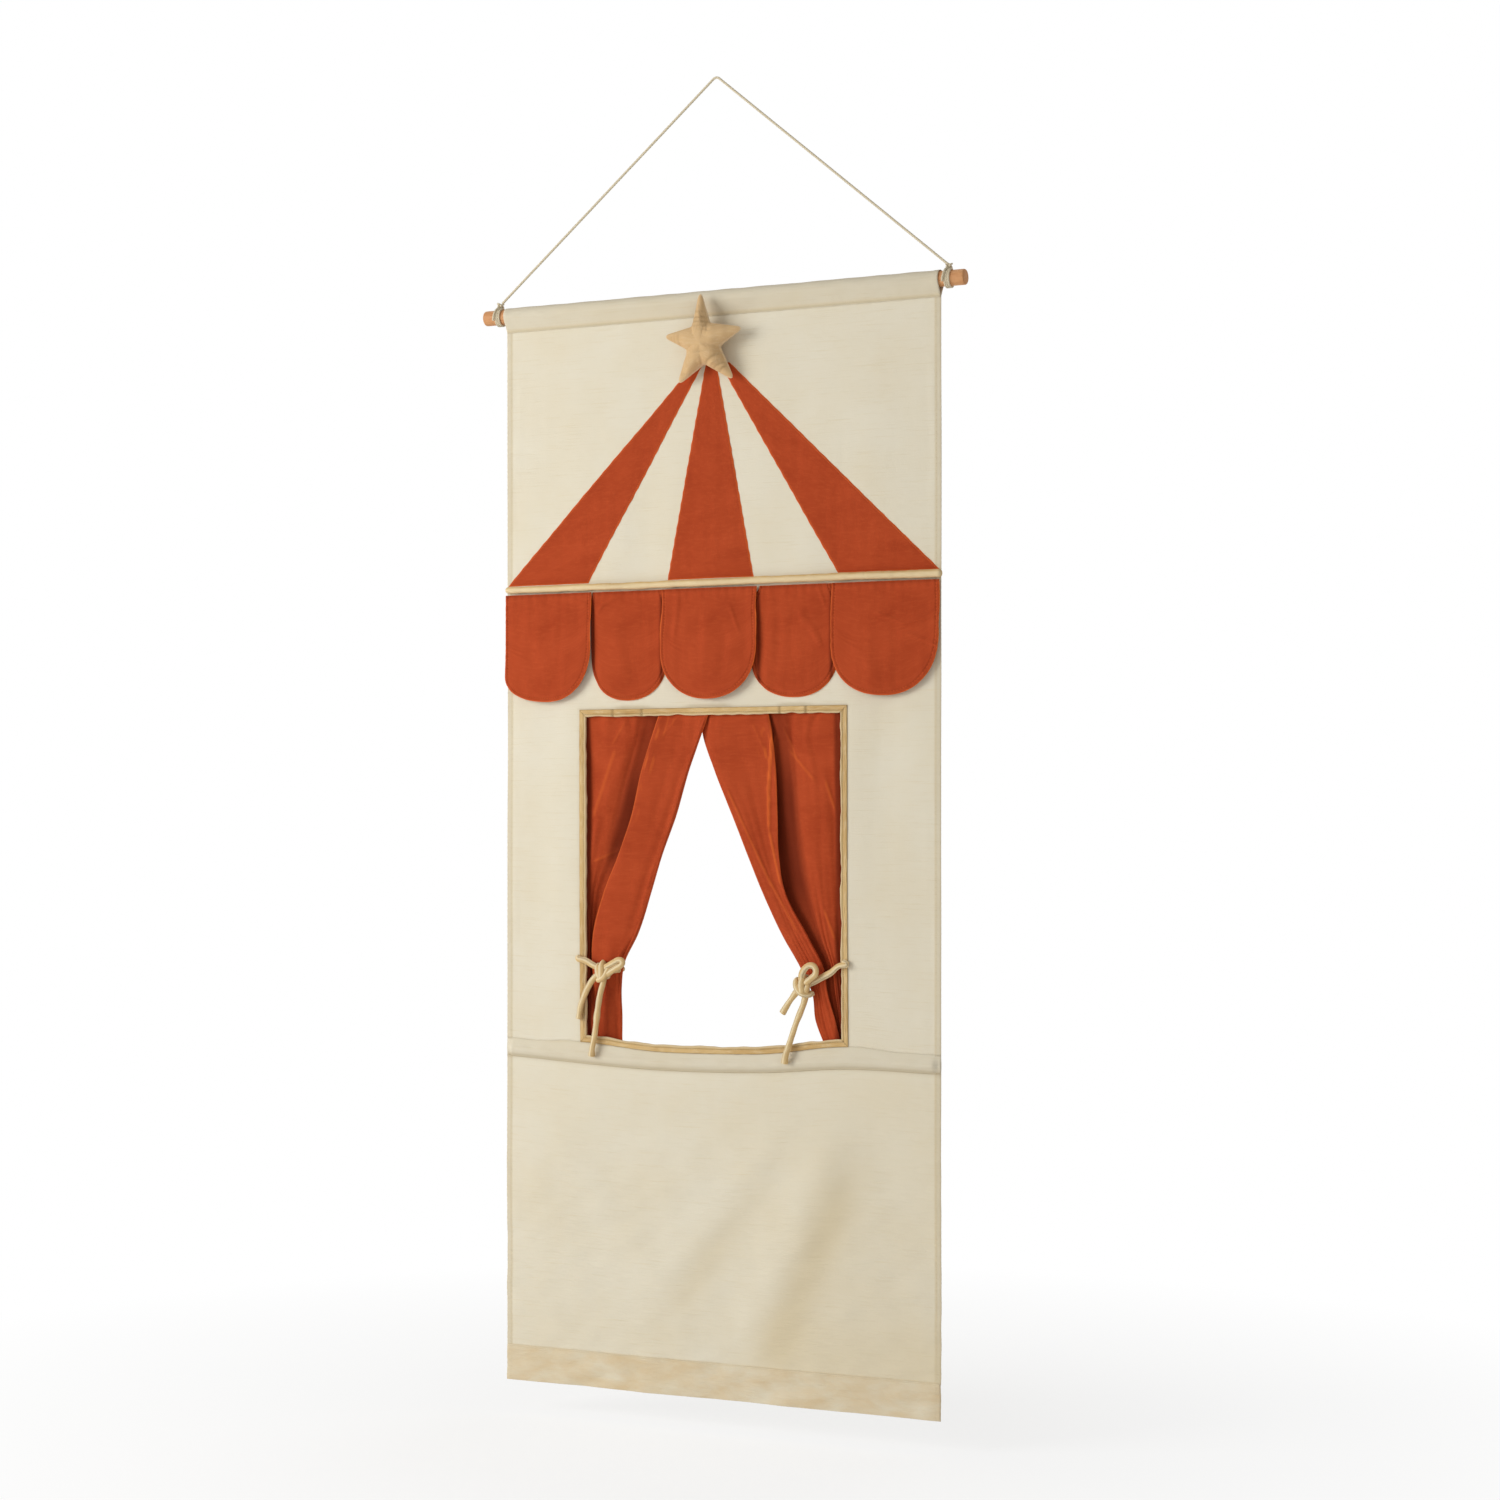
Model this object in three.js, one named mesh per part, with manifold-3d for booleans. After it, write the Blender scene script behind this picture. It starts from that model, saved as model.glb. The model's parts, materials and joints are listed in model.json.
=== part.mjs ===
// Puppet theatre banner that hangs in a doorway: a canvas banner on a wooden dowel, with a
// velvet tent roof, a row of scalloped flaps, and a bound window with tied-back curtains.
//
// Frame: millimetres, +Z up, the front faces -Y. The origin is the point where the hanging
// cord rests on its hook. Every depth below is measured down from the top of the rod sleeve.

import * as THREE from "three";
import { mergeVertices } from "three/addons/utils/BufferGeometryUtils.js";
import Module from "manifold-3d";

const wasm = await Module();
wasm.setup();

// Overall sizes
const bannerWidth = 700;
const bannerHeight = 1600;
const hookDrop = 317; // from the hook to the top dowel's axis
const sewnMiddle = -7.5; // the roof, flaps and window are sewn on this far off the middle

// Cloth and the clearance between pieces that lie against each other
const canvasThickness = 1.4;
const velvetThickness = 1.3;
const seamGap = 0.3;

// Top dowel, its sleeve and the hanging cord
const dowelDiameter = 22;
const dowelLength = 775;
const dowelChamfer = 1.2;
const sleeveClearance = 0.4;
const sleeveDepth = 36;
const cordDiameter = 3.6;
const cordTurns = 3;
const cordEndMargin = 25.5; // from the dowel's end to the middle of the cord's turns
const cordKnotDiameter = 9;

// Tent roof: wedges, piping and star
const roofDepth = 422; // to the piping's axis
const pipingDiameter = 12;
const innerWedgeJoin = 69.5; // from the roof's middle to the foot of the first join
const outerWedgeJoin = 202;
const centreWedgeApexDepth = 62;
const sideWedgeInnerApexDepth = 84;
const sideWedgeOuterApexDepth = 78;
const centreWedgeTopDepth = 99;
const sideWedgeTopDepth = 106;
const starPoints = 5;
const starRadius = 67;
const starNotchRadius = 32;
const starTipRounding = 5;
const starThickness = 40;
const starDepth = 81; // to the star's middle
const starTipThicknessShare = 0.75;
const starRoll = THREE.MathUtils.degToRad(2);

// Scalloped flaps
const innerFlapJoin = 77.5; // from the roof's middle to the first join between two flaps
const outerFlapJoin = 194;
const flapThickness = 3;
const flapLength = 160;
const flapRounding = 78; // height of the round lower edge
const flapSideGap = 0.6;

// Window and its binding
const windowBelowRoof = 180; // from the piping's axis to the binding's outer edge
const windowWidth = 434; // over the binding
const windowHeight = 492; // over the binding
const bindingWidth = 11;
const bindingWall = 1.6;
const bindingFold = 2.2; // cloth in front of the canvas edge, towards the opening
const bindingChamfer = 1;

// Sill pocket with its rod
const sillRodDiameter = 11;
const sillRodEndMargin = 6; // from the banner's edge to the rod's end
const sillRodBelowWindow = 13.5; // from the binding's outer edge to the rod's axis
const sillSeamBelowRod = 11.5;

// Hems
const sideHemWidth = 13;
const sideHemStart = 4; // the skirt's side hems start this far below its hinge line
const bottomHemHeight = 53;

// Curtains
const curtainHeadOverlap = 2; // how far the curtain's head reaches behind the binding
const curtainSideOverlap = 3;
const curtainBelowOpening = 5;
const curtainHeadThickness = 3;
const curtainWaistThickness = 17;
const curtainHemThickness = 9;
const curtainHeadPleat = 1;
const curtainWaistPleat = 6;
const curtainPleats = 2;
const waistShare = 0.783; // where the tie gathers the curtain, as a share of its height

// Curtain ties, made of a soft velvet tube
const tieDiameter = 9;
const knotWidth = 21;
const knotDepth = 15;
const knotHeight = 23;
const strapSeamReach = 6.3; // from the binding's outer edge to the strap's end
const wrapFrontShare = 0.125; // how much of its rise the wrap has made at its front corner
const wrapBackShare = 0.25; // and at the inner back corner
const wrapKneeShare = 0.25; // how far inwards the wrap runs level, as a share of the knot's width

// Roundness of the faceted surfaces
const barSides = 32;
const pipeSides = 20;
const pocketArcSteps = 18;
const tubeSides = 8;
const ballSides = 14;
const ballRings = 10;
const mergeTolerance = 1e-4;
const overrun = 10; // how far a cutting shape runs past what it cuts

// Finishes
const canvas = cloth("#ddd5bf", 0.9);
const rustVelvet = cloth("#b1492a", 0.85);
const sandVelvet = cloth("#dcc08f", 0.85);
const starVelvet = cloth("#d6b98b", 0.85);
const cottonCord = cloth("#d9ceb4", 0.9);
const beech = new THREE.MeshStandardMaterial({ color: "#dba673", roughness: 0.6, metalness: 0 });

function cloth(color, roughness) {
  return new THREE.MeshStandardMaterial({ color, roughness, metalness: 0 });
}

// Sizes worked out from the ones above
const dowelRadius = dowelDiameter / 2;
const sleeveRadius = dowelRadius + sleeveClearance + canvasThickness;
const panelFront = -canvasThickness / 2;
const panelBack = canvasThickness / 2;
const flapHingeDepth = roofDepth + pipingDiameter / 2 + seamGap + flapThickness / 2;
const windowDepth = roofDepth + windowBelowRoof;
const openingHalfWidth = windowWidth / 2 - bindingWidth;
const openingTopDepth = windowDepth + bindingWidth;
const openingHeight = windowHeight - 2 * bindingWidth;
const bindingHalfThickness = panelBack + seamGap + bindingWall;
const sillRodRadius = sillRodDiameter / 2;
const sillPocketRadius = sillRodRadius + sleeveClearance + canvasThickness;
const sillRodDepth = windowDepth + windowHeight + sillRodBelowWindow;
const sillSeamDepth = sillRodDepth + sillSeamBelowRod;
const skirtHingeDepth = sillSeamDepth + seamGap + panelBack;
const curtainHeadDepth = openingTopDepth - bindingWidth + curtainHeadOverlap;
const curtainHeight = openingHeight + bindingWidth - curtainHeadOverlap + curtainBelowOpening;
const curtainFront = bindingHalfThickness + seamGap;
const tieRadius = tieDiameter / 2;

// Height above the dowel's axis of a place at this depth below the sleeve's top.
function at(depth) {
  return sleeveRadius - depth;
}

function toSolid(geometry) {
  const loose = geometry.index ? geometry.toNonIndexed() : geometry.clone();
  loose.deleteAttribute("normal");
  loose.deleteAttribute("uv");
  const merged = mergeVertices(loose, mergeTolerance);
  return new wasm.Manifold(
    new wasm.Mesh({
      numProp: 3,
      vertProperties: merged.attributes.position.array,
      triVerts: new Uint32Array(merged.index.array),
    }),
  );
}

function toGeometry(solid) {
  const mesh = solid.getMesh();
  const geometry = new THREE.BufferGeometry();
  geometry.setAttribute("position", new THREE.Float32BufferAttribute(mesh.vertProperties, 3));
  geometry.setIndex(Array.from(mesh.triVerts));
  geometry.computeVertexNormals();
  return geometry;
}

function join(...geometries) {
  const solids = geometries.map(toSolid);
  return toGeometry(solids.reduce((sum, solid) => sum.add(solid)));
}

function common(first, second) {
  return toGeometry(toSolid(first).intersect(toSolid(second)));
}

function meshOf(name, geometry, material) {
  const mesh = new THREE.Mesh(geometry, material);
  mesh.name = name;
  return mesh;
}

function groupAt(x, y, z) {
  const group = new THREE.Group();
  group.position.set(x, y, z);
  return group;
}

// A flat piece: an outline in X and Z, given a thickness from front towards +Y.
function sheet(shape, thickness, front) {
  const geometry = new THREE.ExtrudeGeometry(shape, { depth: thickness, bevelEnabled: false });
  geometry.rotateX(Math.PI / 2);
  geometry.translate(0, front + thickness, 0);
  return geometry;
}

// A profile in Y and Z carried along X, centred on X = 0.
function alongX(shape, length) {
  const geometry = new THREE.ExtrudeGeometry(shape, { depth: length, bevelEnabled: false });
  const turn = new THREE.Matrix4().makeBasis(
    new THREE.Vector3(0, 1, 0),
    new THREE.Vector3(0, 0, 1),
    new THREE.Vector3(1, 0, 0),
  );
  geometry.applyMatrix4(turn);
  geometry.translate(-length / 2, 0, 0);
  return geometry;
}

function outline(points) {
  return new THREE.Shape(points.map(([x, y]) => new THREE.Vector2(x, y)));
}

function rectangle(left, right, bottom, top) {
  return outline([
    [left, bottom],
    [right, bottom],
    [right, top],
    [left, top],
  ]);
}

// A round bar along X with chamfered ends.
function bar(diameter, length, chamfer, sides) {
  const radius = diameter / 2;
  const half = length / 2;
  const profile = [
    [0, -half],
    [radius - chamfer, -half],
    [radius, chamfer - half],
    [radius, half - chamfer],
    [radius - chamfer, half],
    [0, half],
  ].map(([r, y]) => new THREE.Vector2(r, y));
  const geometry = new THREE.LatheGeometry(profile, sides);
  geometry.rotateZ(-Math.PI / 2);
  return geometry;
}

// The round of a cloth fold along X.
function roll(diameter, length) {
  const radius = diameter / 2;
  const geometry = new THREE.CylinderGeometry(radius, radius, length, ballSides);
  geometry.rotateZ(-Math.PI / 2);
  return geometry;
}

// A soft tube along a smooth curve through the points.
function tube(points, diameter, steps) {
  const section = new THREE.Shape();
  const radius = diameter / 2;
  const corners = Array.from({ length: tubeSides }, (_, i) => {
    const angle = (i / tubeSides) * Math.PI * 2;
    return new THREE.Vector2(radius * Math.cos(angle), radius * Math.sin(angle));
  });
  section.setFromPoints(corners);
  const route = new THREE.CatmullRomCurve3(points.map(([x, y, z]) => new THREE.Vector3(x, y, z)));
  return new THREE.ExtrudeGeometry(section, {
    steps,
    extrudePath: route,
    bevelEnabled: false,
  });
}

// The angle at which a line from (half, along) touches a circle of this radius at the origin.
function touchAngle(radius, half, along) {
  return Math.acos(radius / Math.hypot(half, along)) - Math.atan2(along, half);
}

// Outline of a cloth pocket round a rod at the origin. It closes to a flat seam, half as thick
// as tip, at drop below the rod and, where rise is given, at rise above it too.
function pocketOutline(radius, tip, drop, rise) {
  const lower = touchAngle(radius, tip, drop);
  const upper = rise ? touchAngle(radius, tip, rise) : -Math.PI / 2;
  const points = [[tip, -drop]];
  for (let i = 0; i <= pocketArcSteps; i += 1) {
    const angle = lower + ((-upper - lower) * i) / pocketArcSteps;
    points.push([radius * Math.cos(angle), radius * Math.sin(angle)]);
  }
  if (rise) points.push([tip, rise]);
  const mirrored = points.map(([y, z]) => [-y, z]).reverse();
  return rise ? points.concat(mirrored) : points.concat(mirrored.slice(1));
}

// A pocket along X: the cloth between two such outlines.
function pocket(rodRadius, drop, rise, length) {
  const inner = rodRadius + sleeveClearance;
  const seamOpening = canvasThickness / 4;
  const shape = outline(pocketOutline(inner + canvasThickness, canvasThickness, drop, rise));
  const hollowDrop = drop - canvasThickness * 2;
  const hollowRise = rise ? rise - canvasThickness : 0;
  const hollow = pocketOutline(inner, seamOpening, hollowDrop, hollowRise);
  shape.holes.push(new THREE.Path(hollow.map(([y, z]) => new THREE.Vector2(y, z))));
  return alongX(shape, length);
}

// A closed body between a front and a back surface, each a function of u and v from 0 to 1.
function slab(front, back, across, down) {
  const positions = [];
  const index = [];
  const row = across + 1;
  const layer = row * (down + 1);
  for (const surface of [front, back]) {
    for (let j = 0; j <= down; j += 1) {
      for (let i = 0; i <= across; i += 1) positions.push(...surface(i / across, j / down));
    }
  }
  const quad = (a, b, c, d) => index.push(a, b, c, a, c, d);
  for (let j = 0; j < down; j += 1) {
    for (let i = 0; i < across; i += 1) {
      const corner = j * row + i;
      quad(corner, corner + row, corner + row + 1, corner + 1);
      quad(layer + corner, layer + corner + 1, layer + corner + row + 1, layer + corner + row);
    }
  }
  for (let j = 0; j < down; j += 1) {
    const left = j * row;
    const right = left + across;
    quad(left, left + layer, left + layer + row, left + row);
    quad(right, right + row, right + row + layer, right + layer);
  }
  for (let i = 0; i < across; i += 1) {
    const low = down * row + i;
    quad(i, i + 1, i + 1 + layer, i + layer);
    quad(low, low + layer, low + 1 + layer, low + 1);
  }
  const geometry = new THREE.BufferGeometry();
  geometry.setAttribute("position", new THREE.Float32BufferAttribute(positions, 3));
  geometry.setIndex(index);
  geometry.computeVertexNormals();
  return geometry;
}

// The hanger: dowel, cord and the cord's turns round the dowel

const cordTieX = dowelLength / 2 - cordEndMargin;

// Chosen by hand: one half of the taut cord, from the left knot to the middle of its bend.
const cordHalfRoute = [
  [-358.4, 0, -295.7],
  [-330, 0, -271.9],
  [-290, 0, -238.5],
  [-250, 0, -205],
  [-210, 0, -171.6],
  [-170, 0, -138.1],
  [-130, 0, -104.7],
  [-90, 0, -71.3],
  [-50, 0, -37.8],
  [-22, 0, -14.4],
  [-10, 0, -4.4],
  [-4.6, 0, 0.1],
  [-2.4, 0, 1.4],
  [0, 0, 1.8],
];

function hangingCord() {
  const right = cordHalfRoute.map(([x, y, z]) => [-x, y, z]).reverse();
  const steps = 60;
  return tube(cordHalfRoute.concat(right.slice(1)), cordDiameter, steps);
}

// Turns of cord side by side, and the knot on top of them.
function cordTie() {
  const inner = dowelRadius + seamGap;
  const cordRadius = cordDiameter / 2;
  const half = (cordTurns * cordDiameter) / 2;
  const bumpSteps = 4;
  const profile = [new THREE.Vector2(inner, -half)];
  for (let turn = 0; turn < cordTurns; turn += 1) {
    const middle = cordDiameter * (turn + 0.5) - half;
    for (let i = 0; i <= bumpSteps; i += 1) {
      const angle = (Math.PI * i) / bumpSteps;
      const radius = inner + cordRadius + cordRadius * Math.sin(angle);
      const point = new THREE.Vector2(radius, middle - cordRadius * Math.cos(angle));
      if (turn === 0 || i > 0) profile.push(point);
    }
  }
  profile.push(new THREE.Vector2(inner, half));
  profile.push(profile[0].clone());
  const turns = new THREE.LatheGeometry(profile, barSides);
  turns.rotateZ(-Math.PI / 2);
  const knotRadius = cordKnotDiameter / 2;
  const knot = new THREE.SphereGeometry(knotRadius, ballSides, ballRings);
  knot.translate(0, 0, inner + cordDiameter + knotRadius - cordRadius / 2);
  return join(turns, knot);
}

const hanger = new THREE.Group();
hanger.add(meshOf("hanging_cord", hangingCord(), cottonCord));
const dowelGroup = groupAt(0, 0, -hookDrop);
hanger.add(dowelGroup);
dowelGroup.add(meshOf("top_dowel", bar(dowelDiameter, dowelLength, dowelChamfer, barSides), beech));
for (const [name, side] of [
  ["cord_tie_left", -1],
  ["cord_tie_right", 1],
]) {
  const tie = meshOf(name, cordTie(), cottonCord);
  tie.position.x = side * cordTieX;
  dowelGroup.add(tie);
}

// The banner: everything that swings about the top dowel

function rodSleeve() {
  return pocket(dowelRadius, sleeveDepth - sleeveRadius, 0, bannerWidth);
}

// A hem folded onto the back of the cloth, in X and Z.
function hemStrip(left, right, bottom, top) {
  return sheet(rectangle(left, right, bottom, top), panelBack + canvasThickness, 0);
}

function upperPanel() {
  const half = bannerWidth / 2;
  const top = at(sleeveDepth + seamGap);
  const bottom = at(windowDepth + windowHeight) - seamGap;
  const holeHalf = openingHalfWidth + bindingFold + seamGap;
  const holeTop = at(openingTopDepth - bindingFold - seamGap);
  const holeBottom = at(openingTopDepth + openingHeight + bindingFold + seamGap);
  const shape = rectangle(-half, half, bottom, top);
  const hole = rectangle(sewnMiddle - holeHalf, sewnMiddle + holeHalf, holeBottom, holeTop);
  shape.holes.push(new THREE.Path(hole.getPoints()));
  return join(
    sheet(shape, canvasThickness, panelFront),
    hemStrip(-half, sideHemWidth - half, bottom, top),
    hemStrip(half - sideHemWidth, half, bottom, top),
  );
}

function sillPocket() {
  const rise = sillRodBelowWindow - seamGap;
  return pocket(sillRodRadius, sillSeamBelowRod, rise, bannerWidth);
}

// A roof wedge: its lower corners stand on the piping, its upper ones under the star.
function wedge(corners) {
  return sheet(outline(corners), velvetThickness, panelFront - seamGap - velvetThickness);
}

const wedgeFootDepth = roofDepth - pipingDiameter / 2;

// Where the line from the roof's apex to a foot at this X has come at this depth.
function wedgeEdge(apexDepth, foot, depth) {
  const way = (depth - apexDepth) / (wedgeFootDepth - apexDepth);
  return sewnMiddle + (foot - sewnMiddle) * way;
}

function centreWedge() {
  const left = sewnMiddle - innerWedgeJoin;
  const right = sewnMiddle + innerWedgeJoin;
  return wedge([
    [left, at(wedgeFootDepth)],
    [right, at(wedgeFootDepth)],
    [wedgeEdge(centreWedgeApexDepth, right, centreWedgeTopDepth), at(centreWedgeTopDepth)],
    [wedgeEdge(centreWedgeApexDepth, left, centreWedgeTopDepth), at(centreWedgeTopDepth)],
  ]);
}

function sideWedge(side) {
  const inner = sewnMiddle + side * outerWedgeJoin;
  const outer = side * (bannerWidth / 2 - canvasThickness);
  return wedge([
    [inner, at(wedgeFootDepth)],
    [outer, at(wedgeFootDepth)],
    [wedgeEdge(sideWedgeOuterApexDepth, outer, sideWedgeTopDepth), at(sideWedgeTopDepth)],
    [wedgeEdge(sideWedgeInnerApexDepth, inner, sideWedgeTopDepth), at(sideWedgeTopDepth)],
  ]);
}

function roofPiping() {
  const piping = bar(pipingDiameter, bannerWidth - canvasThickness, bindingChamfer, pipeSides);
  piping.translate(0, panelFront - seamGap - pipingDiameter / 2, at(roofDepth));
  return piping;
}

// Rounded points with straight sides, in X and Z about the star's middle.
function starOutline() {
  const tipSteps = 4;
  const points = [];
  const step = (Math.PI * 2) / starPoints;
  const sideAngle = Math.atan2(
    starRadius - starNotchRadius * Math.cos(step / 2),
    starNotchRadius * Math.sin(step / 2),
  );
  for (let i = 0; i < starPoints; i += 1) {
    const tip = Math.PI / 2 + step * i;
    const middle = starRadius - starTipRounding;
    for (let k = 0; k <= tipSteps; k += 1) {
      const turn = tip + sideAngle * ((2 * k) / tipSteps - 1);
      points.push([
        middle * Math.cos(tip) + starTipRounding * Math.cos(turn),
        middle * Math.sin(tip) + starTipRounding * Math.sin(turn),
      ]);
    }
    const notch = tip + step / 2;
    points.push([starNotchRadius * Math.cos(notch), starNotchRadius * Math.sin(notch)]);
  }
  return points;
}

const pillowFullness = 0.8;

// A stuffed shape: rings that shrink from the outline to the middle as both faces rise.
function pillow(points, halfThickness, rings) {
  const positions = points.flatMap(([x, z]) => [x, 0, z]);
  const index = [];
  const count = points.length;
  for (const side of [-1, 1]) {
    let previous = 0;
    for (let ring = 1; ring <= rings; ring += 1) {
      const size = 1 - ring / rings;
      const rise = side * halfThickness * (1 - size * size) ** pillowFullness;
      const start = positions.length / 3;
      if (ring < rings) points.forEach(([x, z]) => positions.push(x * size, rise, z * size));
      else positions.push(0, rise, 0);
      for (let i = 0; i < count; i += 1) {
        const next = (i + 1) % count;
        const outerPair = [previous + i, previous + next];
        const corners =
          ring < rings ? [...outerPair, start + next, start + i] : [...outerPair, start];
        if (side > 0) corners.reverse();
        for (let k = 2; k < corners.length; k += 1) index.push(corners[0], corners[k - 1], corners[k]);
      }
      previous = start;
    }
  }
  const geometry = new THREE.BufferGeometry();
  geometry.setAttribute("position", new THREE.Float32BufferAttribute(positions, 3));
  geometry.setIndex(index);
  geometry.computeVertexNormals();
  return geometry;
}

// The star leans forward, because its upper point rests on the sleeve. Its back is round, so
// leaning brings it nearer to the canvas by the square of the lean.
function starCushion() {
  const half = starThickness / 2;
  const tipStandOff = sleeveRadius + half * starTipThicknessShare;
  const upright = canvasThickness / 2 + seamGap + half;
  const lean = tipStandOff - upright;
  const standOff = upright + lean ** 2 / (4 * pillowFullness * half);
  const rings = 6;
  const star = meshOf("star_cushion", pillow(starOutline(), half, rings), starVelvet);
  star.position.set(sewnMiddle, -standOff, at(starDepth));
  star.rotation.x = Math.asin((tipStandOff - standOff) / starRadius);
  star.rotation.y = -starRoll;
  return star;
}

// One binding strip, folded round the canvas edge: along X, with the opening below it.
function bindingStrip(openingLength) {
  const half = bindingHalfThickness;
  const slot = panelBack + seamGap;
  const cut = bindingChamfer;
  const profile = outline([
    [cut - half, 0],
    [half - cut, 0],
    [half, cut],
    [half, bindingWidth - cut],
    [half - cut / 2, bindingWidth],
    [slot, bindingWidth],
    [slot, bindingFold],
    [-slot, bindingFold],
    [-slot, bindingWidth],
    [cut / 2 - half, bindingWidth],
    [-half, bindingWidth - cut],
    [-half, cut],
  ]);
  const strip = alongX(profile, openingLength + 2 * (bindingWidth + overrun));
  const end = openingLength / 2 - seamGap;
  const mitre = outline([
    [overrun - end, -overrun],
    [end - overrun, -overrun],
    [end + bindingWidth + overrun, bindingWidth + overrun],
    [-end - bindingWidth - overrun, bindingWidth + overrun],
  ]);
  return common(strip, sheet(mitre, 2 * overrun, -overrun));
}

function windowBinding() {
  const group = groupAt(sewnMiddle, 0, at(openingTopDepth + openingHeight / 2));
  const openingWidth = 2 * openingHalfWidth;
  const strips = [
    ["window_binding_top", openingWidth, openingHeight / 2, 0],
    ["window_binding_right", openingHeight, openingHalfWidth, 1],
    ["window_binding_bottom", openingWidth, openingHeight / 2, 2],
    ["window_binding_left", openingHeight, openingHalfWidth, 3],
  ];
  for (const [name, length, reach, quarter] of strips) {
    const geometry = bindingStrip(length);
    geometry.translate(0, 0, reach);
    geometry.rotateY((quarter * Math.PI) / 2);
    group.add(meshOf(name, geometry, sandVelvet));
  }
  return group;
}

const banner = groupAt(0, 0, -hookDrop);
banner.add(meshOf("rod_sleeve", rodSleeve(), canvas));
banner.add(meshOf("upper_panel", upperPanel(), canvas));
banner.add(meshOf("centre_wedge", centreWedge(), rustVelvet));
banner.add(meshOf("left_wedge", sideWedge(-1), rustVelvet));
banner.add(meshOf("right_wedge", sideWedge(1), rustVelvet));
banner.add(meshOf("roof_piping", roofPiping(), sandVelvet));
banner.add(starCushion());
banner.add(windowBinding());
const sillGroup = groupAt(0, 0, at(sillRodDepth));
sillGroup.add(meshOf("sill_pocket", sillPocket(), canvas));
const sillRodLength = bannerWidth - 2 * sillRodEndMargin;
const sillRod = bar(sillRodDiameter, sillRodLength, bindingChamfer, pipeSides);
sillGroup.add(meshOf("sill_rod", sillRod, beech));
banner.add(sillGroup);

// The flaps: a lined velvet scallop each, rolled over its hinge line under the piping

function flap(width) {
  const half = width / 2;
  const straight = flapLength - flapRounding;
  const shape = new THREE.Shape();
  shape.moveTo(-half, 0);
  shape.lineTo(-half, -straight);
  shape.absellipse(0, -straight, half, flapRounding, Math.PI, 2 * Math.PI, false);
  shape.lineTo(half, 0);
  shape.closePath();
  return join(sheet(shape, flapThickness, -flapThickness / 2), roll(flapThickness, width));
}

const rearFlapY = panelFront - seamGap - flapThickness / 2;
const frontFlapY = rearFlapY - seamGap - flapThickness;
const flapJoins = [-outerFlapJoin, -innerFlapJoin, innerFlapJoin, outerFlapJoin];
const flapEdges = [
  -bannerWidth / 2,
  ...flapJoins.map((join) => sewnMiddle + join),
  bannerWidth / 2,
];
for (let i = 0; i + 1 < flapEdges.length; i += 1) {
  const left = flapEdges[i] + flapSideGap / 2;
  const right = flapEdges[i + 1] - flapSideGap / 2;
  const y = i % 2 ? rearFlapY : frontFlapY;
  const group = groupAt((left + right) / 2, y, at(flapHingeDepth));
  group.add(meshOf(`scallop_flap_${i + 1}`, flap(right - left), rustVelvet));
  banner.add(group);
}

// The curtains, gathered at the waist by their ties

// Each row: share of the curtain's height, then the inner edge as a share of half the opening.
const leftInnerShares = [
  [0, 0.048],
  [0.091, 0.091],
  [0.183, 0.164],
  [0.346, 0.319],
  [0.508, 0.45],
  [0.671, 0.596],
  [0.783, 0.713],
  [1, 0.717],
];
const rightInnerShares = [
  [0, -0.033],
  [0.091, -0.067],
  [0.183, 0.016],
  [0.346, 0.19],
  [0.508, 0.365],
  [0.671, 0.564],
  [0.783, 0.744],
  [0.854, 0.778],
  [1, 0.875],
];

function alongTable(table, share) {
  const last = table.findIndex(([row]) => row >= share);
  if (last <= 0) return table[0][1];
  const [lowRow, low] = table[last - 1];
  const [highRow, high] = table[last];
  return low + ((high - low) * (share - lowRow)) / (highRow - lowRow);
}

// Runs from the head's value to the waist's, then on to the hem's, along the curtain.
function gathered(head, waist, hem, share) {
  if (share <= waistShare) return head + (waist - head) * (share / waistShare) ** 2;
  return waist + ((hem - waist) * (share - waistShare)) / (1 - waistShare);
}

// The curtain's head lies along X at the group's origin, and its front is at curtainFront.
function curtain(side, innerShares) {
  const outer = openingHalfWidth + curtainSideOverlap;
  const point = (u, v, depth) => {
    const inner = openingHalfWidth * alongTable(innerShares, v);
    const pleat = gathered(curtainHeadPleat, curtainWaistPleat, curtainWaistPleat, v);
    const fold = (pleat * (1 - Math.cos(2 * Math.PI * curtainPleats * u))) / 2;
    const x = side * (outer + (inner - outer) * u);
    return [x, curtainFront + fold + depth, -curtainHeight * v];
  };
  const thickness = (v) =>
    gathered(curtainHeadThickness, curtainWaistThickness, curtainHemThickness, v);
  const near = (u, v) => point(side < 0 ? u : 1 - u, v, 0);
  const far = (u, v) => point(side < 0 ? u : 1 - u, v, thickness(v));
  const stepsPerPleat = 6;
  const across = stepsPerPleat * curtainPleats;
  const down = 14;
  return slab(near, far, across, down);
}

// The ties: a soft tube knotted round each curtain in half a bow. Each route is chosen by hand
// and measured from the knot's middle: outwards to the near side of the window, +Y, and up.

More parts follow.
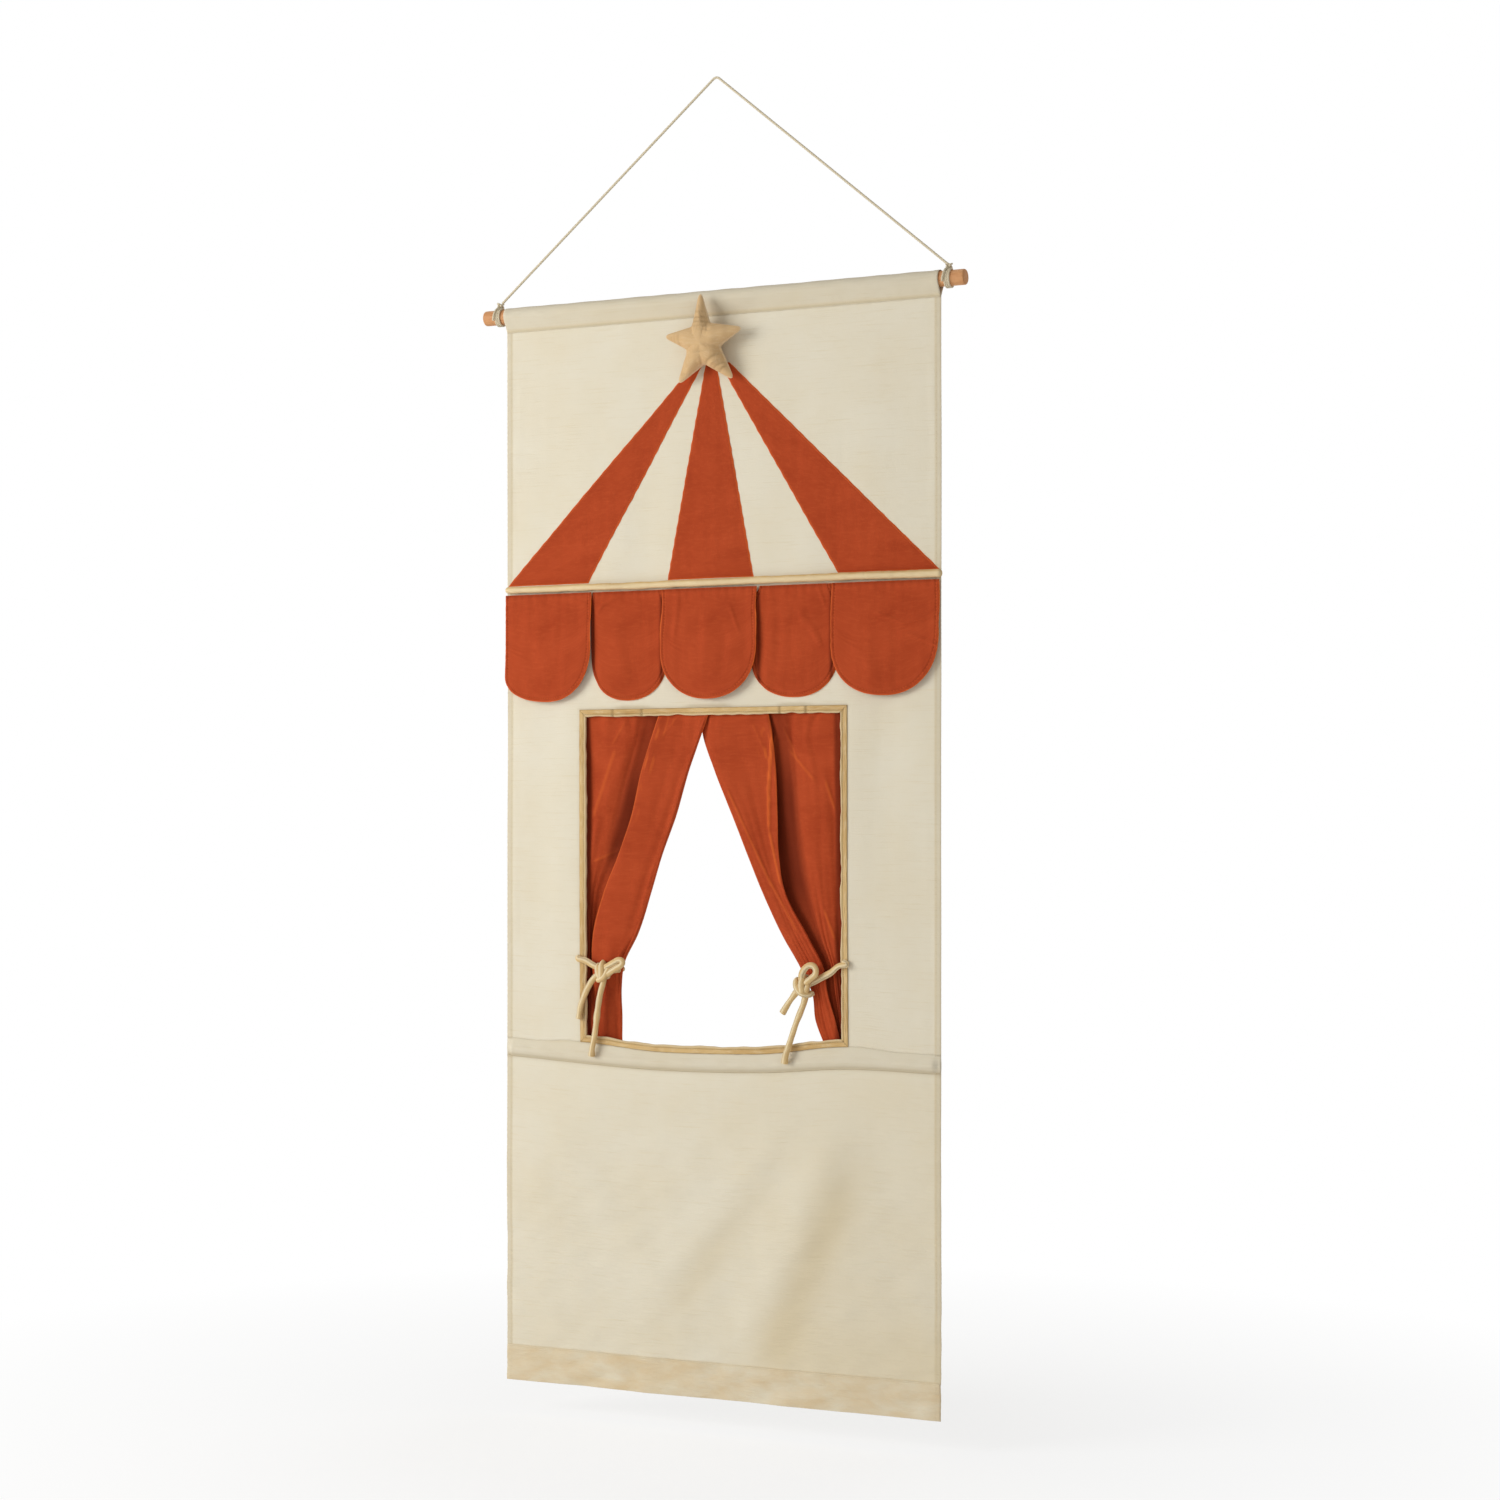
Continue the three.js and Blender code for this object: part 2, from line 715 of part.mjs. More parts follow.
const leftTie = {
  side: -1,
  inset: 31, // from the side of the opening to the knot's middle
  drop: 4, // from the curtain's waist down to the knot's middle
  anchorRise: 12,
  strap: [
    [0, 0, 0],
    [11, -0.5, 4],
    [18, -1.6, 7],
  ],
  loop: [
    [0, -2, 3],
    [-7, -6.8, 7.6],
    [-14, -7.2, 11.8],
    [-26, -7.2, 16.5],
    [-38, -7.2, 19.8],
    [-42.5, -7.2, 18],
    [-43.8, -7.2, 14],
    [-40.5, -7.2, 10.6],
    [-30, -7.2, 6.4],
    [-18, -7.2, 0.6],
    [-8, -6.8, -4],
    [0, -2, -2],
  ],
  tails: [
    [
      "outer",
      [
        [0, -1, -1],
        [9, -3.5, -5],
        [16.5, -4.2, -12],
        [24, -4, -25],
        [28.5, -3.6, -40],
        [31.5, -3.4, -54],
        [32, -3.2, -68],
      ],
    ],
    [
      "inner",
      [
        [-1, 0, -3],
        [-1, -3, -13],
        [3.5, -4, -30],
        [8, -4.6, -55],
        [11, -5, -80],
        [14, -5.4, -100],
        [15.5, -7.8, -112],
        [16.5, -8.2, -124],
      ],
    ],
  ],
};

const rightTie = {
  side: 1,
  inset: 57,
  drop: 17,
  anchorRise: 32,
  strap: [
    [0, 0, 0],
    [14, 2.4, 6],
    [28, 2.2, 13],
    [42, 0.4, 20],
  ],
  loop: [
    [0, 0, 3],
    [-1, -4.5, 9],
    [0.5, -7.2, 17],
    [5.5, -7.5, 25.5],
    [12, -7.5, 30],
    [19, -7.5, 29],
    [22.5, -7.5, 23.5],
    [21.5, -7.5, 17.5],
    [15.5, -7.5, 12],
    [9, -7.2, 7],
    [0, 0, 0],
  ],
  tails: [
    [
      "inner",
      [
        [0, 0, -1],
        [-8, -3.5, -7],
        [-15, -4.5, -15.5],
        [-22, -4.2, -26],
        [-28, -4, -37],
      ],
    ],
    [
      "outer",
      [
        [0, 0, -3],
        [2, 1.5, -12],
        [0.5, 0.8, -22],
        [-4, -1.6, -36],
        [-10, -3.6, -52],
        [-16, -4.6, -70],
        [-20, -5.4, -88],
        [-21, -7.8, -99],
        [-21, -8.2, -110],
      ],
    ],
  ],
};

function tieKnot(growth) {
  const knot = new THREE.SphereGeometry(1 / 2, ballSides, ballRings);
  knot.scale(knotWidth + growth, knotDepth + growth, knotHeight + growth);
  return knot;
}

// A length of tie that starts inside the knot, ended at the knot's surface.
function fromKnot(points, side, steps) {
  const route = points.map(([out, y, z]) => [side * out, y, z]);
  const solid = toSolid(tube(route, tieDiameter, steps));
  return toGeometry(solid.subtract(toSolid(tieKnot(2 * seamGap))));
}

const knotY = curtainFront - seamGap - knotDepth / 2;

// The strap in front runs from the knot over the binding to its seam on the canvas.
function tieStrap(tie) {
  const edge = tie.inset + bindingWidth;
  const overBinding = -bindingHalfThickness - seamGap * 2 - tieRadius - knotY;
  const onCanvas = panelFront - seamGap - tieRadius - knotY;
  const rise = tie.anchorRise;
  const steps = 14;
  const route = [
    ...tie.strap,
    [tie.inset, overBinding, rise - tieRadius],
    [edge, overBinding, rise - tieRadius / 2],
    [edge + strapSeamReach, onCanvas, rise],
  ];
  return fromKnot(route, tie.side, steps);
}

// The wrap runs from the knot round the gathered curtain to its seam behind the binding. It
// turns round each corner of the bundle on a quarter circle.
function tieWrap(tie, innerShares) {
  const reach = 2 * seamGap + tieRadius;
  const rise = tie.anchorRise;
  const backRise = rise * wrapBackShare;
  const topShare = waistShare + (tie.drop - backRise - tieRadius) / curtainHeight;
  const inner = tie.inset - openingHalfWidth * (1 - alongTable(innerShares, topShare));
  const outer = tie.inset + curtainSideOverlap;
  const front = curtainFront - knotY;
  const back = front + curtainWaistPleat + curtainWaistThickness;
  const corner = (out, y, quarter, z) =>
    [0, 1 / 2, 1].map((part) => {
      const angle = ((quarter - part) * Math.PI) / 2;
      return [out + reach * Math.cos(angle), y + reach * Math.sin(angle), z];
    });
  const seam = bindingHalfThickness + 2 * seamGap - knotY;
  const hasFrontCorner = inner < -knotWidth / 2;
  const steps = 26;
  const route = [
    [0, front - reach, 0],
    [-wrapKneeShare * knotWidth, front - reach, 0],
    ...(hasFrontCorner ? corner(inner, front, -1, rise * wrapFrontShare) : []),
    ...corner(inner, back, 2, backRise),
    ...corner(outer, back, 1, rise),
    [outer + reach, (back + seam) / 2, rise],
    [outer + reach, seam, rise],
  ];
  return fromKnot(route, tie.side, steps);
}

function tiePieces(tie, innerShares) {
  const { side } = tie;
  const prefix = side < 0 ? "left_tie" : "right_tie";
  const loopSteps = 24;
  const stepsPerPoint = 2;
  const depth = curtainHeight * waistShare + tie.drop;
  const group = groupAt(side * (openingHalfWidth - tie.inset), knotY, -depth);
  group.add(meshOf(`${prefix}_knot`, tieKnot(0), sandVelvet));
  group.add(meshOf(`${prefix}_strap`, tieStrap(tie), sandVelvet));
  group.add(meshOf(`${prefix}_wrap`, tieWrap(tie, innerShares), sandVelvet));
  group.add(meshOf(`${prefix}_loop`, fromKnot(tie.loop, side, loopSteps), sandVelvet));
  for (const [place, route] of tie.tails) {
    const tail = fromKnot(route, side, stepsPerPoint * route.length);
    group.add(meshOf(`${prefix}_${place}_tail`, tail, sandVelvet));
  }
  return group;
}

for (const [name, tie, innerShares] of [
  ["left_curtain", leftTie, leftInnerShares],
  ["right_curtain", rightTie, rightInnerShares],
]) {
  const group = groupAt(sewnMiddle, 0, at(curtainHeadDepth));
  group.add(meshOf(name, curtain(tie.side, innerShares), rustVelvet));
  group.add(tiePieces(tie, innerShares));
  banner.add(group);
}

// The skirt: the lower panel, which swings below the sill seam, and its deep hem

function lowerPanel(height) {
  const half = bannerWidth / 2;
  const hems = -sideHemStart;
  return join(
    sheet(rectangle(-half, half, -height, 0), canvasThickness, panelFront),
    roll(canvasThickness, bannerWidth),
    hemStrip(-half, sideHemWidth - half, -height, hems),
    hemStrip(half - sideHemWidth, half, -height, hems),
  );
}

function bottomHem() {
  const half = bannerWidth / 2;
  const thickness = 2 * canvasThickness + seamGap;
  return sheet(rectangle(-half, half, -bottomHemHeight, 0), thickness, panelFront);
}

const skirt = groupAt(0, 0, at(skirtHingeDepth));
const skirtHeight = bannerHeight - skirtHingeDepth - bottomHemHeight;
skirt.add(meshOf("lower_panel", lowerPanel(skirtHeight - seamGap), canvas));
const hem = meshOf("bottom_hem", bottomHem(), canvas);
hem.position.z = -skirtHeight;
skirt.add(hem);
banner.add(skirt);

const theatre = new THREE.Group();
theatre.add(hanger, banner);
export default theatre;
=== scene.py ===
"""Looks of a cloth puppet theatre that hangs on a dowel and cord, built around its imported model.

Lengths are in metres, +Z is up, and the front faces -Y. Depths are measured down from the top of
the rod sleeve. Flat cloth pieces are laid out in X and Z first, and hang() then moves them to
where the cloth hangs, so that whatever is sewn together stays together.
"""

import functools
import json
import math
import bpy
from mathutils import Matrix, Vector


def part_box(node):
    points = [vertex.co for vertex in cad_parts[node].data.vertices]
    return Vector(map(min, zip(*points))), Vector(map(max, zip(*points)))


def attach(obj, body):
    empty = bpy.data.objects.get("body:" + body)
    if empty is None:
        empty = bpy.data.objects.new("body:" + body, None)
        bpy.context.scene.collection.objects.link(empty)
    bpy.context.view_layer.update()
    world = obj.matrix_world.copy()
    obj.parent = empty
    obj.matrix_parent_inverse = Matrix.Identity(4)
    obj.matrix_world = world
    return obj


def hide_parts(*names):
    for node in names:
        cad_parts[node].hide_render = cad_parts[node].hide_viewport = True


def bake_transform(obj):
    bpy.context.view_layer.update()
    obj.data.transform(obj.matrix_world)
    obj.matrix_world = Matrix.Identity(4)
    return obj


bl_info = {
    "name": "Hanging Puppet Theatre",
    "version": (1, 0, 0),
    "blender": (4, 5, 0),
    "location": "View3D > Sidebar > Theatre",
    "description": "Builds a cloth puppet theatre with its roof, star, flaps, window and curtains",
    "category": "Add Mesh",
}

import bmesh
import bpy
import numpy as np
from bpy.props import FloatProperty, FloatVectorProperty, IntProperty, PointerProperty
from bpy.types import Operator, Panel, PropertyGroup

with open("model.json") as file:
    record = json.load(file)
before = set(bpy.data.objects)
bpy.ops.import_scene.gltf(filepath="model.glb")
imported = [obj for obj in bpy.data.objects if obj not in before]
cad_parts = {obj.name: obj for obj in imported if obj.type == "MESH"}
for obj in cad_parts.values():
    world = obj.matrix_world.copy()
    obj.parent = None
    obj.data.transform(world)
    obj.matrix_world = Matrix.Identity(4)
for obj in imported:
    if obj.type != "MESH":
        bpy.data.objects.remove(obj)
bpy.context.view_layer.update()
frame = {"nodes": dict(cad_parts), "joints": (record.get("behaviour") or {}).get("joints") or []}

MM = 0.001
X, Y, Z = 0, 1, 2
X_AXIS, Y_AXIS, Z_AXIS = np.eye(3)
FRONT = np.array([0.0, -1.0, 0.0])


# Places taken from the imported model


def low(node, axis):
    """The lowest coordinate of a node along one axis."""
    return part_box(node)[0][axis]


def high(node, axis):
    """The highest coordinate of a node along one axis."""
    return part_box(node)[1][axis]


def middle(node, axis):
    """The coordinate half way through a node along one axis."""
    return (low(node, axis) + high(node, axis)) / 2


def half_of(node, axis):
    """Half the length of a node along one axis."""
    return (high(node, axis) - low(node, axis)) / 2


joints = {joint["name"]: joint for joint in frame["joints"]}

HALF = high("upper_panel", X)
SLEEVE_TOP = high("rod_sleeve", Z)
SLEEVE_SEAM = low("rod_sleeve", Z)
DOWEL_Z = middle("top_dowel", Z)
DOWEL_RADIUS = half_of("top_dowel", Z)
DOWEL_HALF = high("top_dowel", X)
PANEL_TOP = high("upper_panel", Z)
PANEL_BOTTOM = low("upper_panel", Z)
PIPING_Z = middle("roof_piping", Z)
PIPING_Y = middle("roof_piping", Y)
PIPING_RADIUS = half_of("roof_piping", Z)
FLAP_TOP = joints["flap_1_lift"]["pos_m"][Z]
WINDOW_LEFT = high("window_binding_left", X)
WINDOW_RIGHT = low("window_binding_right", X)
WINDOW_TOP = low("window_binding_top", Z)
WINDOW_BOTTOM = high("window_binding_bottom", Z)
WINDOW_MIDDLE = (WINDOW_LEFT + WINDOW_RIGHT) / 2
WINDOW_HALF = (WINDOW_RIGHT - WINDOW_LEFT) / 2
BINDING_WIDTH = WINDOW_LEFT - low("window_binding_left", X)
SILL_Z = middle("sill_rod", Z)
SILL_RADIUS = half_of("sill_rod", Z)
SILL_ROD_HALF = high("sill_rod", X)
SILL_SEAM = low("sill_pocket", Z)
SKIRT_HINGE = joints["skirt_swing"]["pos_m"][Z]
HEM_TOP = high("bottom_hem", Z)
BOTTOM = low("bottom_hem", Z)
CURTAIN_HEAD = joints["left_curtain_swing"]["pos_m"][Z]
KNOT_Y = middle("left_tie_knot", Y)


def at(depth):
    """Height of a place this many millimetres below the top of the sleeve."""
    return SLEEVE_TOP - depth * MM


def linear(red, green, blue):
    """A colour given from 0 to 255 as it looks on a screen, in the renderer's linear values."""
    shares = [channel / 255 for channel in (red, green, blue)]
    return tuple(s / 12.92 if s <= 0.04045 else ((s + 0.055) / 1.055) ** 2.4 for s in shares)


def colour_property(name, description, red, green, blue):
    """A colour that a user can change."""
    return FloatVectorProperty(
        name=name,
        description=description,
        subtype="COLOR",
        size=3,
        min=0,
        max=1,
        default=linear(red, green, blue),
    )


def length_property(name, description, default):
    """A length that a user can change."""
    return FloatProperty(name=name, description=description, default=default, unit="LENGTH", precision=4)


class TheatreColours(PropertyGroup):
    """Colours of the cloths, the wood and the room."""

    canvas: colour_property("Canvas", "Cotton canvas of the banner", 232, 225, 207)
    # canvas_warm also tints seams and hems, and carries the painted warm light in the skirt's folds
    canvas_warm: colour_property("Canvas, warm", "Warmer threads in the canvas", 224, 209, 176)
    # canvas_deep is painted shade: where the canvas lies double it lets less light through, and shadows fall
    # beside the binding, under the sill pocket and under the flaps
    canvas_deep: colour_property("Canvas, deep", "Canvas that lies double or in shadow", 172, 152, 114)
    canvas_hem: colour_property("Canvas, hem", "Creased canvas of the bottom hem", 219, 194, 153)
    rust: colour_property("Rust velvet", "Velvet of the roof, flaps and curtains", 183, 74, 38)
    rust_dark: colour_property("Rust velvet, dark", "The velvet against its pile", 150, 52, 24)
    rust_light: colour_property("Rust velvet, light", "The velvet along its pile", 203, 92, 50)
    # rust_edge is the painted highlight on turned edges and creases, and the rust thread's colour
    rust_edge: colour_property("Rust velvet, edges", "The velvet where it is turned", 226, 108, 48)
    sand: colour_property("Sand velvet", "Velvet of the binding, piping and ties", 220, 188, 134)
    sand_dark: colour_property("Sand velvet, dark", "The velvet against its pile", 190, 150, 94)
    # sand_light is also the painted highlight on the sand velvet's turned edges, piping and ties, and the
    # sand thread's colour
    sand_light: colour_property("Sand velvet, light", "The velvet along its pile", 240, 222, 184)
    star: colour_property("Star velvet", "Velvet of the star", 218, 184, 138)
    # The painted shade in the star's creases is a deeper tone of star_dark
    star_dark: colour_property("Star velvet, dark", "The velvet in the star's creases", 198, 160, 112)
    # star_light is also the painted highlight along the star's seam
    star_light: colour_property("Star velvet, light", "The velvet along the star's seam", 240, 218, 186)
    cord: colour_property("Cord", "Twisted cotton cord", 232, 221, 196)
    # cord_dark is also the painted shade between the cord's strands
    cord_dark: colour_property("Cord, dark", "Between the strands of the cord", 198, 180, 146)
    wood: colour_property("Beech", "Beech of the dowels", 224, 168, 116)
    wood_dark: colour_property("Beech, dark", "Grain of the dowels", 186, 118, 70)
    floor: colour_property("Floor", "Floor under the theatre", 250, 250, 250)


class TheatreSizes(PropertyGroup):
    """Sizes of the cloth pieces."""

    bow: length_property("Bow", "How far the middle of the banner stands forward", 4 * MM)
    sag: FloatProperty(
        name="Sag", description="Share of the sill's sag that is shown", default=1, min=0, max=2
    )
    canvas_thickness: length_property("Canvas thickness", "Thickness of the canvas", 0.55 * MM)
    velvet_thickness: length_property("Velvet thickness", "Thickness of the velvet", 1.1 * MM)
    hem_width: length_property("Side hem", "Width of the banner's side hems", 9 * MM)
    cord_diameter: length_property("Cord diameter", "Thickness of the hanging cord", 3.6 * MM)
    tie_diameter: length_property("Tie diameter", "Thickness of the curtain ties", 9 * MM)
    star_thickness: length_property("Star thickness", "Thickness of the stuffed star", 34 * MM)
    stitch_pitch: length_property("Stitch pitch", "Distance between two stitches", 3.2 * MM)
    cord_turns: IntProperty(name="Cord turns", description="Turns round each dowel end", default=3)
    floor_gap: length_property("Floor gap", "Height of the hem above the floor", 45 * MM)


def sizes():
    """The scene's sizes."""
    return bpy.context.scene.theatre_sizes


def colours():
    """The scene's colours."""
    return bpy.context.scene.theatre_colours


# Shapes as arrays


def share(value, start, stop):
    """How far a value has come from start to stop, held between 0 and 1."""
    return np.clip((value - start) / (stop - start), 0, 1)


def smooth(value, start=0, stop=1):
    """As share(), with a soft start and stop: three times its square less twice its cube."""
    part = share(value, start, stop)
    return part * part * (3 - 2 * part)


def hill(value, width):
    """1 at 0, falling to 0 on both sides as a bell this wide."""
    return np.exp(-((value / width) ** 2))


def unit(vectors):
    """Vectors of length 1 in the same directions."""
    return vectors / np.maximum(np.linalg.norm(vectors, axis=-1, keepdims=True), 1e-12)


def ripples(first, second, wavelength, seed, count=7):
    """Irregular waves from about -1 to 1: a sum of sines of about this wavelength, each in its own
    seeded direction and phase."""
    random = np.random.default_rng(seed)
    shape = (count,) + (1,) * np.ndim(first)
    turn = random.uniform(0, 2 * np.pi, count).reshape(shape)
    phase = random.uniform(0, 2 * np.pi, count).reshape(shape)
    length = wavelength * random.uniform(0.7, 1.4, count).reshape(shape)
    way = first * np.cos(turn) + second * np.sin(turn)
    return np.sin(2 * np.pi * way / length + phase).sum(0) / math.sqrt(count)


def hermite(values, knots, places):
    """A smooth curve through values at knots, read at places: on each stretch a cubic that takes
    its slopes from the neighbours."""
    values = np.asarray(values, float)
    slopes = np.gradient(values, knots, axis=0)
    row = np.clip(np.searchsorted(knots, places, side="right") - 1, 0, len(knots) - 2)
    step = (knots[row + 1] - knots[row]).reshape((-1,) + (1,) * (values.ndim - 1))
    part = (places - knots[row]).reshape(step.shape) / step
    square, cube = part**2, part**3
    return (
        values[row] * (2 * cube - 3 * square + 1)
        + values[row + 1] * (3 * square - 2 * cube)
        + slopes[row] * step * (cube - 2 * square + part)
        + slopes[row + 1] * step * (cube - square)
    )


def lengths(points):
    """Distance travelled along a path at each of its points."""
    return np.concatenate([[0], np.cumsum(np.linalg.norm(np.diff(points, axis=0), axis=1))])


def closed(points):
    """A ring of points with its first one again at the end."""
    return np.concatenate([points, points[:1]])


def read_along(points, travelled, places):
    """A path's points, or other values of it, read at distances travelled along it."""
    return np.stack([np.interp(places, travelled, column) for column in points.T], 1)


def route(points, step):
    """A smooth path through a few points, with a new point every step of its length."""
    points = np.asarray(points, float)
    knots = lengths(points)
    fine = hermite(points, knots, np.linspace(0, knots[-1], 40 * len(points)))
    travelled = lengths(fine)
    count = max(4, round(travelled[-1] / step) + 1)
    return read_along(fine, travelled, np.linspace(0, travelled[-1], count))


def grid(x, y, z):
    """Points from their X, Y and Z, each given for every point or for a row or column of them."""
    return np.stack(np.broadcast_arrays(x, y, z), -1)


def sweep(path, section, facing, cap):
    """A tube: a section of (side, up) offsets carried along a path. The up direction is the one
    across the path that lies nearest to facing. The ends close in a quarter circle of the cap's
    length. A section may be one ring or one ring for each path point."""
    tangent = unit(np.gradient(path, axis=0))
    side = unit(np.cross(tangent, facing))
    up = np.cross(side, tangent)
    rings = np.broadcast_to(section, (len(path),) + np.shape(section)[-2:])
    body = path[:, None] + rings[..., :1] * side[:, None] + rings[..., 1:] * up[:, None]
    angle = np.linspace(0, np.pi / 2, 5)[:, None, None]
    first = path[0] + (body[0] - path[0]) * np.sin(angle) - tangent[0] * cap * np.cos(angle)
    last = path[-1] + (body[-1] - path[-1]) * np.cos(angle) + tangent[-1] * cap * np.sin(angle)
    return np.concatenate([first[:-1], body, last[1:]])


def angles(count):
    """Evenly spaced angles once round."""
    return np.linspace(0, 2 * np.pi, count, endpoint=False)


def ring(angle, side, up):
    """The offsets of a round section at these angles, as wide and high to each way as given."""
    return np.stack([side * np.cos(angle), up * np.sin(angle)], -1)


class Patch:
    """A grid of points with the places in the cloth that its lines stand for. The edge value tells the
    material where the cloth is turned and gets painted highlights and warm tints; the shade value tells it
    where the cloth lies in a fold and gets painted shade."""

    def __init__(
        self, points, first=None, second=None, wrap=(False, False), keep=None, edge=None, shade=None
    ):
        self.points = np.asarray(points, float)
        rows, columns = self.points.shape[:2]
        self.first = np.arange(rows + wrap[0]) * MM if first is None else np.asarray(first)
        self.second = np.arange(columns + wrap[1]) * MM if second is None else np.asarray(second)
        self.wrap = wrap
        self.keep = keep
        self.edge = np.zeros((rows, columns)) if edge is None else edge
        self.shade = np.zeros((rows, columns)) if shade is None else shade

    def faces(self):
        """Corner numbers and cloth places of each kept cell."""
        rows, columns = self.points.shape[:2]
        steps = rows - (not self.wrap[0]), columns - (not self.wrap[1])
        i, j = np.meshgrid(np.arange(steps[0]), np.arange(steps[1]), indexing="ij")
        if self.keep is not None:
            i, j = i[self.keep], j[self.keep]
        i = np.stack([i, i + 1, i + 1, i], -1).reshape(-1, 4)
        j = np.stack([j, j, j + 1, j + 1], -1).reshape(-1, 4)
        places = np.stack([self.first[i], self.second[j]], -1)
        return (i % rows) * columns + j % columns, places


def place_lines(points, axis):
    """Distance travelled along the middle line of a grid, for the cloth places of its lines."""
    line = points[:, points.shape[1] // 2] if axis == 0 else points[points.shape[0] // 2]
    return lengths(line)


def tube_patch(points):
    """A swept tube as a patch that closes round its section."""
    around = lengths(closed(points[len(points) // 2]))
    return Patch(points, place_lines(points, 0), around, wrap=(False, True))


def shell(front, back, first=None, second=None, edge=None, shade=None):
    """A closed body between two grids of the same shape, as patches: both faces and the rim."""
    first = place_lines(front, 0) if first is None else first
    second = place_lines(front, 1) if second is None else second
    edge = np.zeros(front.shape[:2]) if edge is None else edge
    patches = [Patch(front, first, second, edge=edge, shade=shade), Patch(back, first, second, edge=edge)]
    for side in (0, -1):
        row = np.stack([front[side], back[side]])
        column = np.stack([front[:, side], back[:, side]], 1)
        thick = np.array([0, MM])
        patches.append(Patch(row, thick, second, edge=np.stack([edge[side]] * 2)))
        patches.append(Patch(column, first, thick, edge=np.stack([edge[:, side]] * 2, 1)))
    return patches


def make(name, patches, finish, thickness=0.0, sharp=None):
    """One object from patches: their points are merged where they meet, and faces look outwards."""
    patches = patches if isinstance(patches, list) else [patches]
    starts = np.cumsum([0] + [p.points.shape[0] * p.points.shape[1] for p in patches])
    points = np.concatenate([p.points.reshape(-1, 3) for p in patches])
    marks = {
        "edge": np.concatenate([p.edge.ravel() for p in patches]),
        "shade": np.concatenate([p.shade.ravel() for p in patches]),
    }
    corners, places = zip(*[p.faces() for p in patches])
    faces = np.concatenate([c + start for c, start in zip(corners, starts)])
    mesh = mesh_of(name, points, faces, np.concatenate(places), marks)
    return add_piece(name, mesh, finish, thickness, sharp)


def add_piece(name, mesh, finish, thickness=0.0, sharp=None):
    """One object from a mesh. An open cloth is given its thickness, half to each side."""
    obj = add_object(name, mesh)
    if thickness:
        modifier = obj.modifiers.new("thickness", "SOLIDIFY")
        modifier.thickness = thickness
        modifier.offset = 0
        apply_modifiers(obj)
    tidy(obj, sharp)
    obj.data.materials.append(finish_of(finish))
    return obj


def add_object(name, data, location=(0, 0, 0)):
    """An object of the scene for a mesh, a lamp or a camera."""
    obj = bpy.data.objects.new(name, data)
    obj.location = location
    bpy.context.scene.collection.objects.link(obj)
    return obj


def mesh_of(name, points, faces, places, marks):
    """A mesh of four-cornered faces, with the map of cloth places and its named marks."""
    mesh = bpy.data.meshes.new(name)
    mesh.vertices.add(len(points))
    mesh.vertices.foreach_set("co", points.astype(np.float32).ravel())
    mesh.loops.add(faces.size)
    mesh.loops.foreach_set("vertex_index", faces.astype(np.int32).ravel())
    mesh.polygons.add(len(faces))
    mesh.polygons.foreach_set("loop_start", np.arange(0, faces.size, 4, dtype=np.int32))
    mesh.update(calc_edges=True)
    layer = mesh.uv_layers.new(name="cloth")
    layer.data.foreach_set("uv", places.astype(np.float32).ravel())
    for mark, values in marks.items():
        attribute = mesh.attributes.new(mark, "FLOAT", "POINT")
        attribute.data.foreach_set("value", np.clip(values, 0, 1).astype(np.float32))
    return mesh


# Points of a mesh that lie this close are one
SAME_PLACE = 1e-6


def apply_modifiers(obj):
    """Gives the object the mesh that its modifiers make."""
    graph = bpy.context.evaluated_depsgraph_get()
    mesh = bpy.data.meshes.new_from_object(obj.evaluated_get(graph), depsgraph=graph)
    obj.modifiers.clear()
    obj.data = mesh


def tidy(obj, sharp=None):
    """Merges points that meet, turns faces outwards and shades them smooth, but for edges sharper
    than the given angle."""
    work = bmesh.new()
    work.from_mesh(obj.data)
    bmesh.ops.remove_doubles(work, verts=work.verts, dist=SAME_PLACE)
    bmesh.ops.dissolve_degenerate(work, edges=work.edges, dist=SAME_PLACE / 10)
    bmesh.ops.recalc_face_normals(work, faces=work.faces)
    for face in work.faces:
        face.smooth = True
    work.to_mesh(obj.data)
    work.free()
    if sharp:
        obj.data.set_sharp_from_angle(angle=sharp)


# How the cloth hangs

SKIRT_RIDGES = [
    # start x, z, end x, z, half width, height towards the front
    (0.188, -1.540, 0.058, -1.812, 0.044, 9.5 * MM),
    (0.215, -1.560, 0.150, -1.760, 0.030, -1.6 * MM),
    (0.092, -1.526, -0.100, -1.754, 0.026, 3.8 * MM),
    (-0.230, -1.570, -0.115, -1.720, 0.024, 2.4 * MM),
    (-0.335, -1.775, -0.150, -1.870, 0.020, 2.8 * MM),
    (-0.180, -1.440, -0.330, -1.640, 0.060, 2.2 * MM),
    (-0.155, -1.592, -0.005, -1.598, 0.013, 2.2 * MM),
    (0.020, -1.535, 0.062, -1.560, 0.010, 1.6 * MM),
    (-0.060, -1.850, 0.240, -1.866, 0.012, 1.8 * MM),
    (-0.250, -1.690, -0.120, -1.640, 0.014, -1.4 * MM),
]


def ridge(x, z, line, fade=0.08):
    """Height of a straight soft ridge: a bell across its line that fades out past both ends."""
    x0, z0, x1, z1, width, height = line
    length = math.hypot(x1 - x0, z1 - z0)
    along = ((x - x0) * (x1 - x0) + (z - z0) * (z1 - z0)) / length
    across = ((x - x0) * (z1 - z0) - (z - z0) * (x1 - x0)) / length
    ends = smooth(along, -fade, 0.7 * fade) * (1 - smooth(along, length - 0.7 * fade, length + fade))
    return height * hill(across, width) * ends


